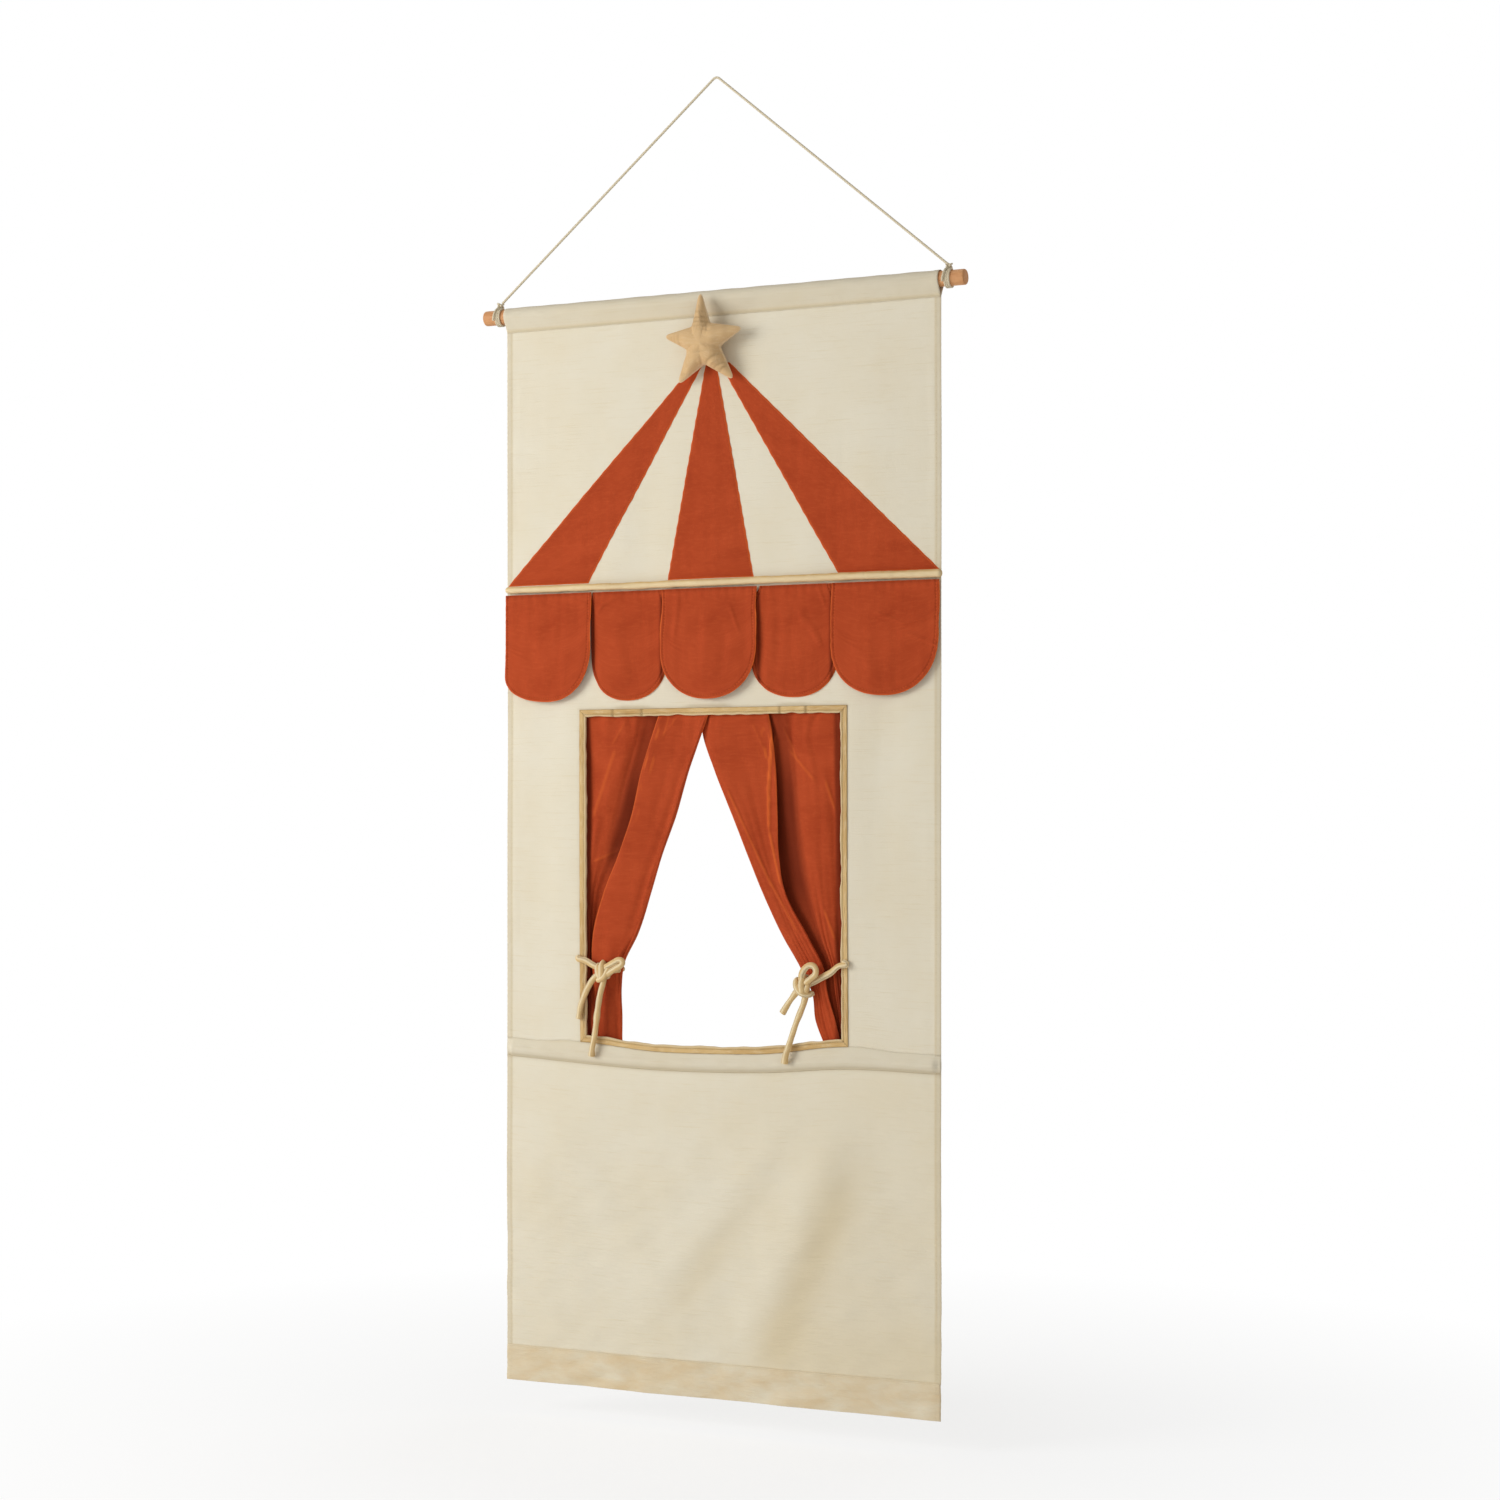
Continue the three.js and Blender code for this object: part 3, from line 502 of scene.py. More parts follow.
def relief(x, z):
    """How far the cloth stands forward of its flat place: a bow between the sleeve's seam and the
    sill, soft vertical waves in it, long slanting folds in the skirt, and puckers in the hems."""
    across = x / HALF
    upper = share(z, PANEL_TOP, SILL_Z)
    skirt = share(z, SKIRT_HINGE, BOTTOM)
    slack = np.sin(np.pi * upper)
    bow = sizes().bow * (1 - across**2) * slack
    waves = 0.8 * MM * np.sin(2 * np.pi * x / 0.21 + 1.3 + upper) * slack
    waves = waves + 0.9 * MM * ripples(x, 0.3 * z, 0.11, 3) * slack
    waves = waves + 0.16 * MM * ripples(x, 0.12 * z, 0.016, 4) * smooth(upper, 0, 0.1) * (1 - skirt)
    seam = 0.25 * MM * np.sin(2 * np.pi * x / 0.019 + 2 * np.sin(23 * x)) * hill(z - SLEEVE_SEAM, 0.018)
    hanging = sum(ridge(x, z, line) for line in SKIRT_RIDGES)
    hanging = hanging + 1.2 * MM * ripples(x, 0.5 * z, 0.2, 11) * smooth(skirt, 0, 0.3)
    hanging = hanging + 0.5 * MM * ripples(x, 1.3 * z, 0.055, 5) * smooth(skirt, 0, 0.5)
    crumple = 0.75 * MM * ripples(x, 1.4 * z, 0.045, 8) * smooth(z, HEM_TOP + 0.03, HEM_TOP - 0.01)
    hem = smooth(np.abs(x), HALF - sizes().hem_width - 5 * MM, HALF - sizes().hem_width + MM)
    pucker = 0.3 * MM * np.sin(2 * np.pi * z / (7.5 * MM) + 2.5 * np.sin(55 * z)) * hem
    free = smooth(np.minimum(upper, 1 - upper), 0, 0.03) + smooth(skirt, 0, 0.06)
    return bow + waves + seam + (hanging + crumple) * smooth(skirt, 0, 0.12) + pucker * free


# How far the sill sags below its flat place, from the left to the right
SILL_PLACES = np.array([-0.35, -0.217, -0.13, -0.02, 0.08, 0.205, 0.35])
SILL_DROPS = np.array([-3.5, 4.5, 8.8, 9.6, 6.6, -3, -1.2]) * MM


def window_lift(x, z):
    """How far the window's lower edge is drawn up: nothing at the sill and high above, and more
    towards both corners."""
    away = np.abs(x - WINDOW_MIDDLE) / WINDOW_HALF
    near = smooth(away, 0.35, 1.0) * (1 - smooth(away, 1.1, 1.45))
    rising = smooth(z, SILL_Z + SILL_RADIUS + 1.5 * MM, PANEL_BOTTOM)
    return (1.5 * MM + 5 * MM * near) * rising * (1 - smooth(z, WINDOW_BOTTOM, WINDOW_BOTTOM + 0.1))


def drop(x, z):
    """How far the cloth hangs below its flat place: a smooth curve through the sill's drops, which
    the cloth above and below the sill gives way to over its height, less the lift of the window's
    lower corners."""
    x = np.asarray(x, float)
    held = np.clip(x, SILL_PLACES[0], SILL_PLACES[-1]).ravel()
    sag = hermite(SILL_DROPS, SILL_PLACES, held).reshape(x.shape)
    above = smooth(z, WINDOW_TOP, SILL_Z)
    below = 1 - smooth(z, SILL_Z - 0.03, HEM_TOP)
    return sizes().sag * (sag * np.minimum(above, below) - window_lift(x, z))


def hang(points):
    """Moves flat points of the banner to where the cloth hangs."""
    points = np.array(points, float)
    x, z = points[..., X].copy(), points[..., Z].copy()
    points[..., Y] -= relief(x, z)
    points[..., Z] -= drop(x, z)
    return points


# Materials


class Value:
    """A socket of a material's node tree. Arithmetic on it adds Math nodes."""

    def __init__(self, tree, socket):
        self.tree = tree
        self.socket = socket

    def math(self, operation, *others):
        """The outcome of a Math node on this value and others."""
        return self.tree.math(operation, self, *others)

    def __add__(self, other):
        return self.math("ADD", other)

    def __sub__(self, other):
        return self.math("SUBTRACT", other)

    def __rsub__(self, other):
        return self.tree.math("SUBTRACT", other, self)

    def __mul__(self, other):
        return self.math("MULTIPLY", other)

    __radd__ = __add__
    __rmul__ = __mul__


class Tree:
    """The node tree of a material or a world."""

    def __init__(self, owner):
        self.owner = owner
        owner.use_nodes = True
        self.nodes = owner.node_tree.nodes
        self.links = owner.node_tree.links
        self.nodes.clear()

    def node(self, kind, settings=None, inputs=None, output=0):
        """Adds a node, sets its settings and then its sockets, and returns one output."""
        made = self.nodes.new(kind)
        for key, value in (settings or {}).items():
            setattr(made, key, value)
        for key, value in (inputs or {}).items():
            if isinstance(value, Value):
                self.links.new(value.socket, made.inputs[key])
            else:
                made.inputs[key].default_value = value
        return None if output is None else Value(self, made.outputs[output])

    def math(self, operation, *values):
        """The outcome of a Math node on one or more values."""
        return self.node("ShaderNodeMath", {"operation": operation}, dict(enumerate(values)))

    def cloth(self, across=1.0, along=1.0):
        """The place in the cloth in metres, stretched by these shares."""
        place = self.node("ShaderNodeUVMap", {"uv_map": "cloth"})
        return self.node("ShaderNodeMapping", None, {"Vector": place, "Scale": (along, across, 1)})

    def body(self, scale=(1, 1, 1), offset=(0, 0, 0)):
        """The place in the object, in metres."""
        place = self.node("ShaderNodeTexCoord", None, None, 3)
        return self.node("ShaderNodeMapping", None, {"Vector": place, "Scale": scale, "Location": offset})

    def noise(self, place, scale, detail=2.0, roughness=0.5, distortion=0.0):
        """Fractal noise of this many octaves."""
        settings = {"Vector": place, "Scale": scale, "Detail": detail}
        settings.update({"Roughness": roughness, "Distortion": distortion})
        return self.node("ShaderNodeTexNoise", None, settings)

    def seen_directly(self):
        """1 for rays from the camera and for those mirrored or let through, and 0 for light."""
        camera, glossy, through = (
            self.node("ShaderNodeLightPath", None, None, f"Is {kind} Ray")
            for kind in ("Camera", "Glossy", "Transmission")
        )
        return camera.math("MAXIMUM", glossy).math("MAXIMUM", through)

    def attribute(self, name):
        """A mark that the mesh carries, such as its edge or shade."""
        return self.node("ShaderNodeAttribute", {"attribute_name": name}, None, 2)

    def levels(self, value, start, stop):
        """The value's share of the way from start to stop, held between 0 and 1."""
        return self.node("ShaderNodeMapRange", {"clamp": True}, {0: value, 1: start, 2: stop})

    def mix(self, factor, first, second):
        """A colour between two colours."""
        inputs = {0: factor, 6: opaque(first), 7: opaque(second)}
        return self.node("ShaderNodeMix", {"data_type": "RGBA"}, inputs, 2)

    def surface(self, colour, roughness, height, depth, constants):
        """Ends the tree in a surface of this colour, roughness and relief."""
        bump = self.node("ShaderNodeBump", None, {"Height": height, "Distance": depth})
        inputs = {"Base Color": opaque(colour), "Roughness": roughness, "Normal": bump}
        inputs.update(constants)
        shader = self.node("ShaderNodeBsdfPrincipled", None, inputs)
        self.node("ShaderNodeOutputMaterial", None, {"Surface": shader}, None)
        return self.owner


def opaque(colour):
    """A colour with full alpha, or the socket that it comes from."""
    return colour if isinstance(colour, Value) else (*tuple(colour)[:3], 1)


def canvas_material():
    """Cream cotton canvas: slubby threads both ways, warm flecks, slow changes of tone, and fine
    crumples that are stronger below the sill and in the bottom hem."""
    tree = Tree(bpy.data.materials.new("cream_canvas"))
    across = tree.noise(tree.cloth(across=1400, along=60), 1, 2, 0.6)
    along = tree.noise(tree.cloth(across=60, along=1400), 1, 2, 0.6)
    slubs = tree.levels(tree.noise(tree.cloth(across=420, along=14), 1, 3, 0.7), 0.56, 0.74)
    crumples = tree.noise(tree.cloth(across=150, along=32), 1, 3, 0.6, 0.6)
    blotches = tree.levels(tree.noise(tree.cloth(), 9, 3, 0.55), 0.35, 0.7)
    seams = tree.attribute("edge")
    height_up = tree.node("ShaderNodeSeparateXYZ", None, {0: tree.body()}, 2)
    below = tree.levels(height_up, SILL_SEAM + 0.01, SILL_SEAM - 0.05)
    hem = tree.levels(height_up, HEM_TOP + 2 * MM, HEM_TOP - 2 * MM)
    palette = colours()
    tone = tree.mix(0.3 * blotches + 0.4 * slubs, palette.canvas, palette.canvas_warm)
    threads = tree.levels(across + along, 0.75, 1.25)
    tone = tree.mix(0.1 * (1 - threads), tone, palette.canvas_warm)
    # The edge mark warms seams and hems, and brings in the painted warm light of the skirt's folds
    tone = tree.mix(0.8 * seams, tone, palette.canvas_warm)
    # Painted shade: the shade mark darkens where the canvas lies double and where shadows fall
    tone = tree.mix(0.55 * tree.attribute("shade"), tone, palette.canvas_deep)
    patches = tree.levels(tree.noise(tree.cloth(across=34, along=15), 1, 4, 0.6, 0.3), 0.32, 0.7)
    tone = tree.mix(hem * (0.02 + 0.8 * patches), tone, palette.canvas_hem)
    strength = 0.6 + 2.0 * below + 2.0 * hem
    height = 0.5 * across + 0.5 * along + 0.6 * slubs + strength * crumples
    constants = {"Sheen Weight": 0.15, "Specular IOR Level": 0.25}
    return tree.surface(tone, 0.86 + 0.1 * threads, height, 0.25 * MM, constants)


VELVETS = {
    # the colour of its painted edge highlights, how crushed its pile is, and its sheen
    "rust": ("rust_edge", 0.4, 0.45),
    "sand": ("sand_light", 0.55, 0.35),
    "star": ("star_light", 0.4, 0.4),
}


def velvet_material(name):
    """Cotton velvet: a short pile brushed this way and that, with painted highlights on its turned edges and
    creases, and painted shade inside folds."""
    tree = Tree(bpy.data.materials.new(f"{name}_velvet"))
    edge, crush, sheen = VELVETS[name]
    keys = (name, f"{name}_dark", f"{name}_light", edge)
    body, dark, light, edge = (getattr(colours(), key) for key in keys)
    brushed = tree.noise(tree.cloth(across=18, along=9), 1, 3, 0.6, 0.8)
    streaks = tree.noise(tree.cloth(across=260, along=60), 1, 3, 0.65, 0.4)
    pile = tree.noise(tree.cloth(), 1600, 2, 0.6)
    turned = tree.attribute("edge")
    tone = tree.mix(crush * tree.levels(brushed, 0.42, 0.68), body, dark)
    tone = tree.mix(0.8 * crush * tree.levels(streaks, 0.48, 0.75), tone, light)
    tone = tree.mix(0.25 * tree.levels(pile, 0.45, 0.8), tone, dark)
    # Painted highlight: the edge mark lightens turned edges, pleat fronts and pressed creases towards the
    # edge colour
    tone = tree.mix(tree.levels(turned + 0.25 * pile, 0.2, 1.15), tone, edge)
    # Painted shade: the shade mark darkens folds, creases and shadowed places towards a deep tone of the dark
    # colour
    tone = tree.mix(0.9 * tree.attribute("shade"), tone, tuple(0.42 * c for c in dark))
    height = 0.6 * pile + 0.5 * streaks
    constants = {"Sheen Weight": sheen, "Sheen Roughness": 0.35, "Sheen Tint": opaque(light)}
    constants["Specular IOR Level"] = 0.12
    roughness = 0.8 + 0.15 * brushed
    return tree.surface(tone, roughness, height, 0.35 * MM, constants)


def cord_material():
    """Twisted cotton cord: pale on the strands, with painted shade between them, and fine fibres."""
    tree = Tree(bpy.data.materials.new("cotton_cord"))
    fibres = tree.noise(tree.cloth(across=900, along=2600), 1, 2, 0.6)
    palette = colours()
    tone = tree.mix(tree.attribute("edge"), palette.cord, palette.cord_dark)
    tone = tree.mix(0.3 * fibres, tone, palette.cord_dark)
    return tree.surface(tone, 0.9, fibres, 0.3 * MM, {"Sheen Weight": 0.2})


THREADS = {"cream_thread": "canvas_warm", "rust_thread": "rust_edge", "sand_thread": "sand_light"}


def thread_material(name):
    """Sewing thread: matte, with the twist of its plies."""
    tree = Tree(bpy.data.materials.new(name))
    colour = getattr(colours(), THREADS[name])
    twist = tree.noise(tree.body(), 1500, 1)
    tone = tree.mix(0.35 * twist, colour, tuple(0.6 * c for c in tuple(colour)[:3]))
    return tree.surface(tone, 0.75, twist, 0.1 * MM, {"Sheen Weight": 0.1})


def wood_material(name, axis_z):
    """Beech with a thin oil finish: long grain, short dark flecks, and rings on its sawn ends."""
    tree = Tree(bpy.data.materials.new(name))
    along = tree.noise(tree.body((7, 90, 90)), 1, 4, 0.6, 0.5)
    flecks = tree.levels(tree.noise(tree.body((130, 1500, 1500)), 1, 2, 0.6), 0.6, 0.7)
    centre = tree.body((1, 1, 1), (0, -3 * MM, -axis_z + 5 * MM))
    upright = tree.node("ShaderNodeVectorMath", {"operation": "MULTIPLY"}, {0: centre, 1: (0, 1, 1)})
    radius = tree.node("ShaderNodeVectorMath", {"operation": "LENGTH"}, {0: upright}, 1)
    rings = (radius * 2400 + 2 * along).math("SINE") * 0.5 + 0.5
    end = tree.attribute("edge")
    palette = colours()
    grain = tree.levels(along, 0.35, 0.7)
    tone = tree.mix(0.65 * grain * (1 - end) + 0.55 * rings * end, palette.wood, palette.wood_dark)
    tone = tree.mix(0.35 * flecks, tone, palette.wood_dark)
    tone = tree.mix(0.3 * end, tone, palette.wood_dark)
    roughness = 0.5 + 0.12 * grain + 0.2 * end
    return tree.surface(tone, roughness, along - 0.6 * flecks, 0.2 * MM, {"Specular IOR Level": 0.4})


@functools.cache
def finish_of(name):
    """A material by name, made the first time that it is asked for."""
    if name in VELVETS:
        return velvet_material(name)
    if name in THREADS:
        return thread_material(name)
    if name in ("dowel", "rod"):
        return wood_material(f"beech_{name}", DOWEL_Z if name == "dowel" else SILL_Z)
    return cord_material() if name == "cord" else canvas_material()


# Stitches


def stitches(name, paths, thread, pitch=None, width=0.55 * MM):
    """Stitches along paths on the front: on each, spindles of six sides every pitch of its length,
    0.66 of the pitch long, whose ends dip into the cloth."""
    pitch = pitch or sizes().stitch_pitch
    centres, tangents = [], []
    for path in paths:
        travelled = lengths(path)
        places = np.arange(pitch / 2, travelled[-1], pitch)
        slope = unit(np.gradient(path, axis=0))
        centres.append(read_along(path, travelled, places))
        tangents.append(read_along(slope, travelled, places))
    centre, tangent = np.concatenate(centres), unit(np.concatenate(tangents))
    side = unit(np.cross(tangent, FRONT))
    up = np.cross(side, tangent)
    reach = np.array([-1, -0.7, 0, 0.7, 1])
    girth = np.array([0, 0.8, 1, 0.8, 0]) * width / 2
    turn = angles(6)
    along = tangent[:, None, None] * (reach * 0.33 * pitch)[None, :, None, None]
    sideways = side[:, None, None] * (girth[:, None] * np.cos(turn))[None, ..., None]
    lift = girth[:, None] * np.sin(turn) - (reach**2 * width * 0.45)[:, None]
    points = centre[:, None, None] + along + sideways + up[:, None, None] * lift[None, ..., None]
    cell = Patch(points[0], wrap=(False, True)).faces()[0]
    starts = np.arange(len(centre)) * len(reach) * len(turn)
    faces = (cell[None] + starts[:, None, None]).reshape(-1, 4)
    mesh = mesh_of(name, points.reshape(-1, 3), faces, np.zeros((faces.size, 2)), {})
    return add_piece(name, mesh, thread)


def straight(start, stop, step=4 * MM):
    """Points every step along a straight line."""
    start, stop = np.array(start, float), np.array(stop, float)
    count = max(2, round(float(np.linalg.norm(stop - start)) / step) + 1)
    return start + (stop - start) * np.linspace(0, 1, count)[:, None]


# The hanging cord and its turns

# X, Y and Z in millimetres from the left knot to the middle
CORD_HALF_ROUTE = [
    (-358.4, 0, -295.7), (-330, 0, -271.9), (-290, 0, -238.5), (-250, 0, -205), (-210, 0, -171.6),
    (-170, 0, -138.1), (-130, 0, -104.7), (-90, 0, -71.3), (-50, 0, -37.8), (-22, 0, -14.4),
    (-10, 0, -4.4), (-4.6, 0, 0.1), (-2.4, 0, 1.4), (0, 0, 1.8),
]
CORD_STRANDS = 3


def rope(path, diameter, facing, cap):
    """A twisted cord: each ring is a circle pushed in between its strands, and the strands turn once every
    four diameters. Its grooves are marked for painted shade."""
    travelled = lengths(path)[:, None]
    angle = angles(14)[None]
    twist = 2 * np.pi * travelled / (4 * diameter)
    crest = np.abs(np.cos(CORD_STRANDS / 2 * (angle + twist))) ** 0.7
    radius = diameter / 2 * (0.8 + 0.24 * crest)
    patch = tube_patch(sweep(path, ring(angle, radius, radius), facing, cap))
    groove = 1 - crest
    extra = (len(patch.points) - len(path)) // 2
    groove = np.concatenate([groove[:1]] * extra + [groove] + [groove[-1:]] * extra)
    # Painted shade in the grooves between the strands
    patch.edge = groove**1.5
    return patch


def build_cord():
    """The taut cord between the two knots on the dowel."""
    half = np.array(CORD_HALF_ROUTE) * MM
    other = half[::-1][1:] * (-1, 1, 1)
    path = route(np.concatenate([half, other]), 1.1 * MM)
    diameter = sizes().cord_diameter
    cord = make("hanging_rope", rope(path, diameter, Y_AXIS, MM), "cord")
    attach(cord, "hanger")
    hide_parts("hanging_cord")
    length = float(lengths(path)[-1])


def knot_curve(count, size):
    """A closed overhand knot: the three-lobed curve sin t + 2 sin 2t, cos t - 2 cos 2t, sin 3t."""
    t = angles(count)
    across = (np.sin(t) + 2 * np.sin(2 * t)) / 3
    upright = (np.cos(t) - 2 * np.cos(2 * t)) / 3
    return np.stack([across * size[0], -np.sin(3 * t) * size[1], upright * size[2]], -1) / 2


def closed_tube(path, section):
    """A tube along a closed path. Its section is turned towards the middle of the path."""
    tangent = unit(np.roll(path, -1, 0) - np.roll(path, 1, 0))
    outward = unit(path - path.mean(0))
    side = unit(np.cross(tangent, outward))
    up = np.cross(side, tangent)
    points = path[:, None] + section[None, :, :1] * side[:, None] + section[None, :, 1:] * up[:, None]
    return Patch(points, lengths(closed(path)), lengths(closed(section)), wrap=(True, True))


def build_cord_turns():
    """Turns of cord drawn tight round each dowel end, with the knot on top of them."""
    diameter = 0.85 * sizes().cord_diameter
    turns = sizes().cord_turns
    reach = DOWEL_RADIUS + diameter / 2 - 0.15 * MM
    for side in ("left", "right"):
        node = f"cord_tie_{side}"
        centre = np.array([middle(node, X), 0, DOWEL_Z])
        angle = np.linspace(0, 2 * np.pi * turns, 150 * turns)
        travel = (angle / (2 * np.pi) - turns / 2) * diameter * 0.97
        path = centre + np.stack([travel, reach * np.sin(angle), reach * np.cos(angle)], -1)
        path[:, Y] += 0.3 * MM * np.sin(3 * angle)
        cross = np.linspace(-0.62 * np.pi, 0.4 * np.pi, 90)
        over = reach + 0.7 * diameter
        slant = centre + np.stack([cross * 2.6 * MM, over * np.sin(cross), over * np.cos(cross)], -1)
        curve = knot_curve(110, (9 * MM, 9.5 * MM, 8.5 * MM))
        curve = curve + np.array([centre[X], 0, high(node, Z) - 5.4 * MM])
        parts = [rope(path, diameter, X_AXIS, MM), rope(slant, diameter, X_AXIS, MM)]
        squeezed = diameter * 0.92 / 2
        parts.append(closed_tube(curve, ring(angles(12), squeezed, squeezed)))
        obj = make(f"cord_turns_{side}", parts, "cord")
        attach(obj, "hanger")
        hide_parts(node)


def turned_bar(half, radius, rounding, sides=72, wobble=0.0):
    """A round bar along X whose ends are rounded over, centred on the origin. Its last rings are
    marked as end grain."""
    turn = np.linspace(0, np.pi / 2, 7)
    reach = np.concatenate([[0, 0.5], 1 - rounding / radius * (1 - np.sin(turn))])
    place = np.concatenate([[half, half], half - rounding * (1 - np.cos(turn))])
    length = np.linspace(-half + 2 * rounding, half - 2 * rounding, 60)
    x = np.concatenate([-place, length, place[::-1]])
    r = np.concatenate([reach, np.ones(60), reach[::-1]]) * radius
    grid_x, grid_a = np.meshgrid(x, angles(sides), indexing="ij")
    bumps = 1 + wobble * ripples(grid_x, radius * 6 * np.sin(grid_a), 0.08, 1)
    points = grid(grid_x, r[:, None] * np.sin(grid_a) * bumps, r[:, None] * np.cos(grid_a) * bumps)
    grain = np.zeros(points.shape[:2])
    grain[:6] = grain[-6:] = 1
    around = np.linspace(0, 2 * np.pi * radius, sides + 1)
    return Patch(points, x, around, wrap=(False, True), edge=grain)


def build_dowel():
    """The beech dowel, its sawn ends rounded over by hand."""
    patch = turned_bar(DOWEL_HALF, DOWEL_RADIUS, 2.6 * MM, wobble=0.006)
    patch.points[..., Z] += DOWEL_Z
    obj = make("beech_dowel", patch, "dowel")
    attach(obj, "hanger")
    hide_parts("top_dowel")


# Canvas


def tunnel(radius, tip, down, rise, arc=26):
    """Half open outline of a cloth tunnel round a rod at the origin, in Y and Z, from the back of
    the lower seam over the top to its front. Where rise is given it goes by the upper seam."""

    def touch(along):
        """Angle at which a straight line from a seam meets the rod's cloth."""
        return math.acos(radius / math.hypot(tip, along)) - math.atan2(along, tip)

    bottom = touch(down)
    top = -touch(rise) if rise else math.pi / 2
    angle = np.linspace(bottom, top, arc)
    curve = ring(angle, radius, radius)
    foot = radius * math.cos(bottom), radius * math.sin(bottom)
    back = np.concatenate([np.linspace((tip, -down), foot, 8)[:-1], curve])
    if rise:
        back = np.concatenate([back, np.linspace(curve[-1], (tip, rise), 5)[1:]])
    front = (back * (-1, 1))[::-1]
    return np.concatenate([back, front if rise else front[1:]])


def along_x(outline, start, stop, count, centre_z):
    """An outline in Y and Z carried along X, as a grid."""
    x = np.linspace(start, stop, count)[:, None]
    return grid(x, outline[:, 0], outline[:, 1] + centre_z)


def gathers(x, z, height, wavelength, drift, seam, reach):
    """Small even puckers along a seam, drawn closer and wider by a slow drift."""
    wave = np.sin(2 * np.pi * x / wavelength + 3 * np.sin(drift * x))
    return height * wave * hill(z - seam, reach)


def build_sleeve():
    """The canvas folded over the dowel and sewn down, with a narrow hem at each open end."""
    radius = DOWEL_RADIUS + 1.15 * MM
    down = DOWEL_Z - SLEEVE_SEAM
    outline = tunnel(radius, 0.9 * MM, down, 0)
    lip = np.array([[-1.15 * MM, -down - 0.8 * MM], [-1.05 * MM, -down - 1.6 * MM]])
    outline = np.concatenate([outline, lip])
    points = along_x(outline, -HALF, HALF, 280, DOWEL_Z)
    x, z = points[..., X], points[..., Z]
    turn = np.arctan2(z - DOWEL_Z, points[..., Y])
    outward = unit(np.stack([np.zeros_like(x), points[..., Y], z - DOWEL_Z + 4 * MM], -1))
    hem = smooth(np.abs(x), HALF - 9.5 * MM, HALF - 8 * MM)
    swell = 0.35 * MM * hem + 0.22 * MM * ripples(x, 0.03 * turn, 0.05, 21)
    swell = swell + gathers(x, z, 0.25 * MM, 0.016, 31, SLEEVE_SEAM, 9 * MM)
    points = points + outward * swell[..., None]
    z = points[..., Z]
    seam = hill(z - SLEEVE_SEAM - 1.2 * MM, 2.2 * MM)
    # Painted shade: the doubled sleeve lets less light through, with darker lines along its top, which turns
    # away from the light, and along its seam
    doubled = 0.34 + 0.5 * hill(DOWEL_Z + radius - z, 1.6 * MM)
    doubled = doubled + 0.35 * hill(z - SLEEVE_SEAM + 0.4 * MM, 1.4 * MM)
    patch = Patch(points, points[:, 0, X], lengths(outline), edge=seam, shade=doubled)
    obj = make("rod_sleeve_canvas", patch, "canvas", sizes().canvas_thickness)
    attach(obj, "banner")
    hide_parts("rod_sleeve")
    rows = [seam_line(-1.55 * MM, SLEEVE_SEAM + 1.2 * MM)]
    thread = stitches("sleeve_stitches", rows, "cream_thread")
    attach(thread, "banner")


def seam_line(front, height):
    """A straight stitch path across the whole banner."""
    return straight((-HALF + MM, front, height), (HALF - MM, front, height))


# Beside the banner's edges the canvas has finer lines over this width
EDGE_ZONE = 24 * MM


def folded_profile(half, hem, radius):
    """Across the banner: cloth places from one hem's free edge, round its fold, over the front and
    round the other fold, with the X and Y of each."""
    flat = half - radius
    arc = np.pi * radius
    inner = np.linspace(0, flat - EDGE_ZONE, round((flat - EDGE_ZONE) / (8 * MM)) + 1)
    front = np.concatenate([inner, inner[-1] + np.linspace(0, EDGE_ZONE, 8)[1:]])
    fold = flat + arc * np.linspace(0, 1, 7)[1:]
    back = flat + arc + (hem - radius) * np.linspace(0, 1, 5)[1:]
    place = np.concatenate([front, fold, back])
    place = np.concatenate([-place[:0:-1], place])
    reach = np.abs(place)
    turn = np.clip((reach - flat) / radius, 0, np.pi)
    x = np.where(reach < flat, reach, flat + radius * np.sin(turn) - np.maximum(reach - flat - arc, 0))
    y = -radius * np.cos(turn)
    return place, np.sign(place) * x, y


def lines_through(stops, step):
    """Evenly spaced values, about a step apart, that include every stop."""
    parts = [
        np.linspace(a, b, max(1, round(abs(b - a) / step)) + 1)[:-1] for a, b in zip(stops, stops[1:])
    ]
    return np.concatenate([*parts, stops[-1:]])


def add_lines(values, extra):
    """The values with extra ones put in their places, and any line that crowds them taken out."""
    keep = np.min(np.abs(values[:, None] - np.array(extra)[None]), 1) > 2 * MM
    return np.sort(np.concatenate([values[keep], extra]))


def canvas_grid(top, bottom, stops, hole=None):
    """A canvas panel with folded side hems, as a flat grid. The cells of a hole, given as left,
    right, bottom and top, are left out."""
    place, x, y = folded_profile(HALF, sizes().hem_width, sizes().canvas_thickness)
    z = lines_through([top, *stops, bottom], 3 * MM)
    keep = None
    if hole:
        front = np.abs(place) < HALF - EDGE_ZONE - 2 * MM
        inner = add_lines(place[front], hole[:2])
        lines = np.concatenate([place[place < inner[0]], inner, place[place > inner[-1]]])
        place, x, y = lines, np.interp(lines, place, x), np.interp(lines, place, y)
        middle_x, middle_z = (place[1:] + place[:-1]) / 2, (z[1:] + z[:-1]) / 2
        inside_x = (middle_x > hole[0]) & (middle_x < hole[1])
        inside_z = (middle_z > hole[2]) & (middle_z < hole[3])
        keep = ~(inside_x[:, None] & inside_z[None])
    return Patch(hang(grid(x[:, None], y[:, None], z)), place, z, keep=keep)


def hem_rows(top, bottom, offset):
    """Two stitch paths down the side hems, on the hanging cloth."""
    reach = HALF - (sizes().hem_width - 1.6 * MM)
    return [hang(straight((x, offset, top), (x, offset, bottom))) for x in (-reach, reach)]


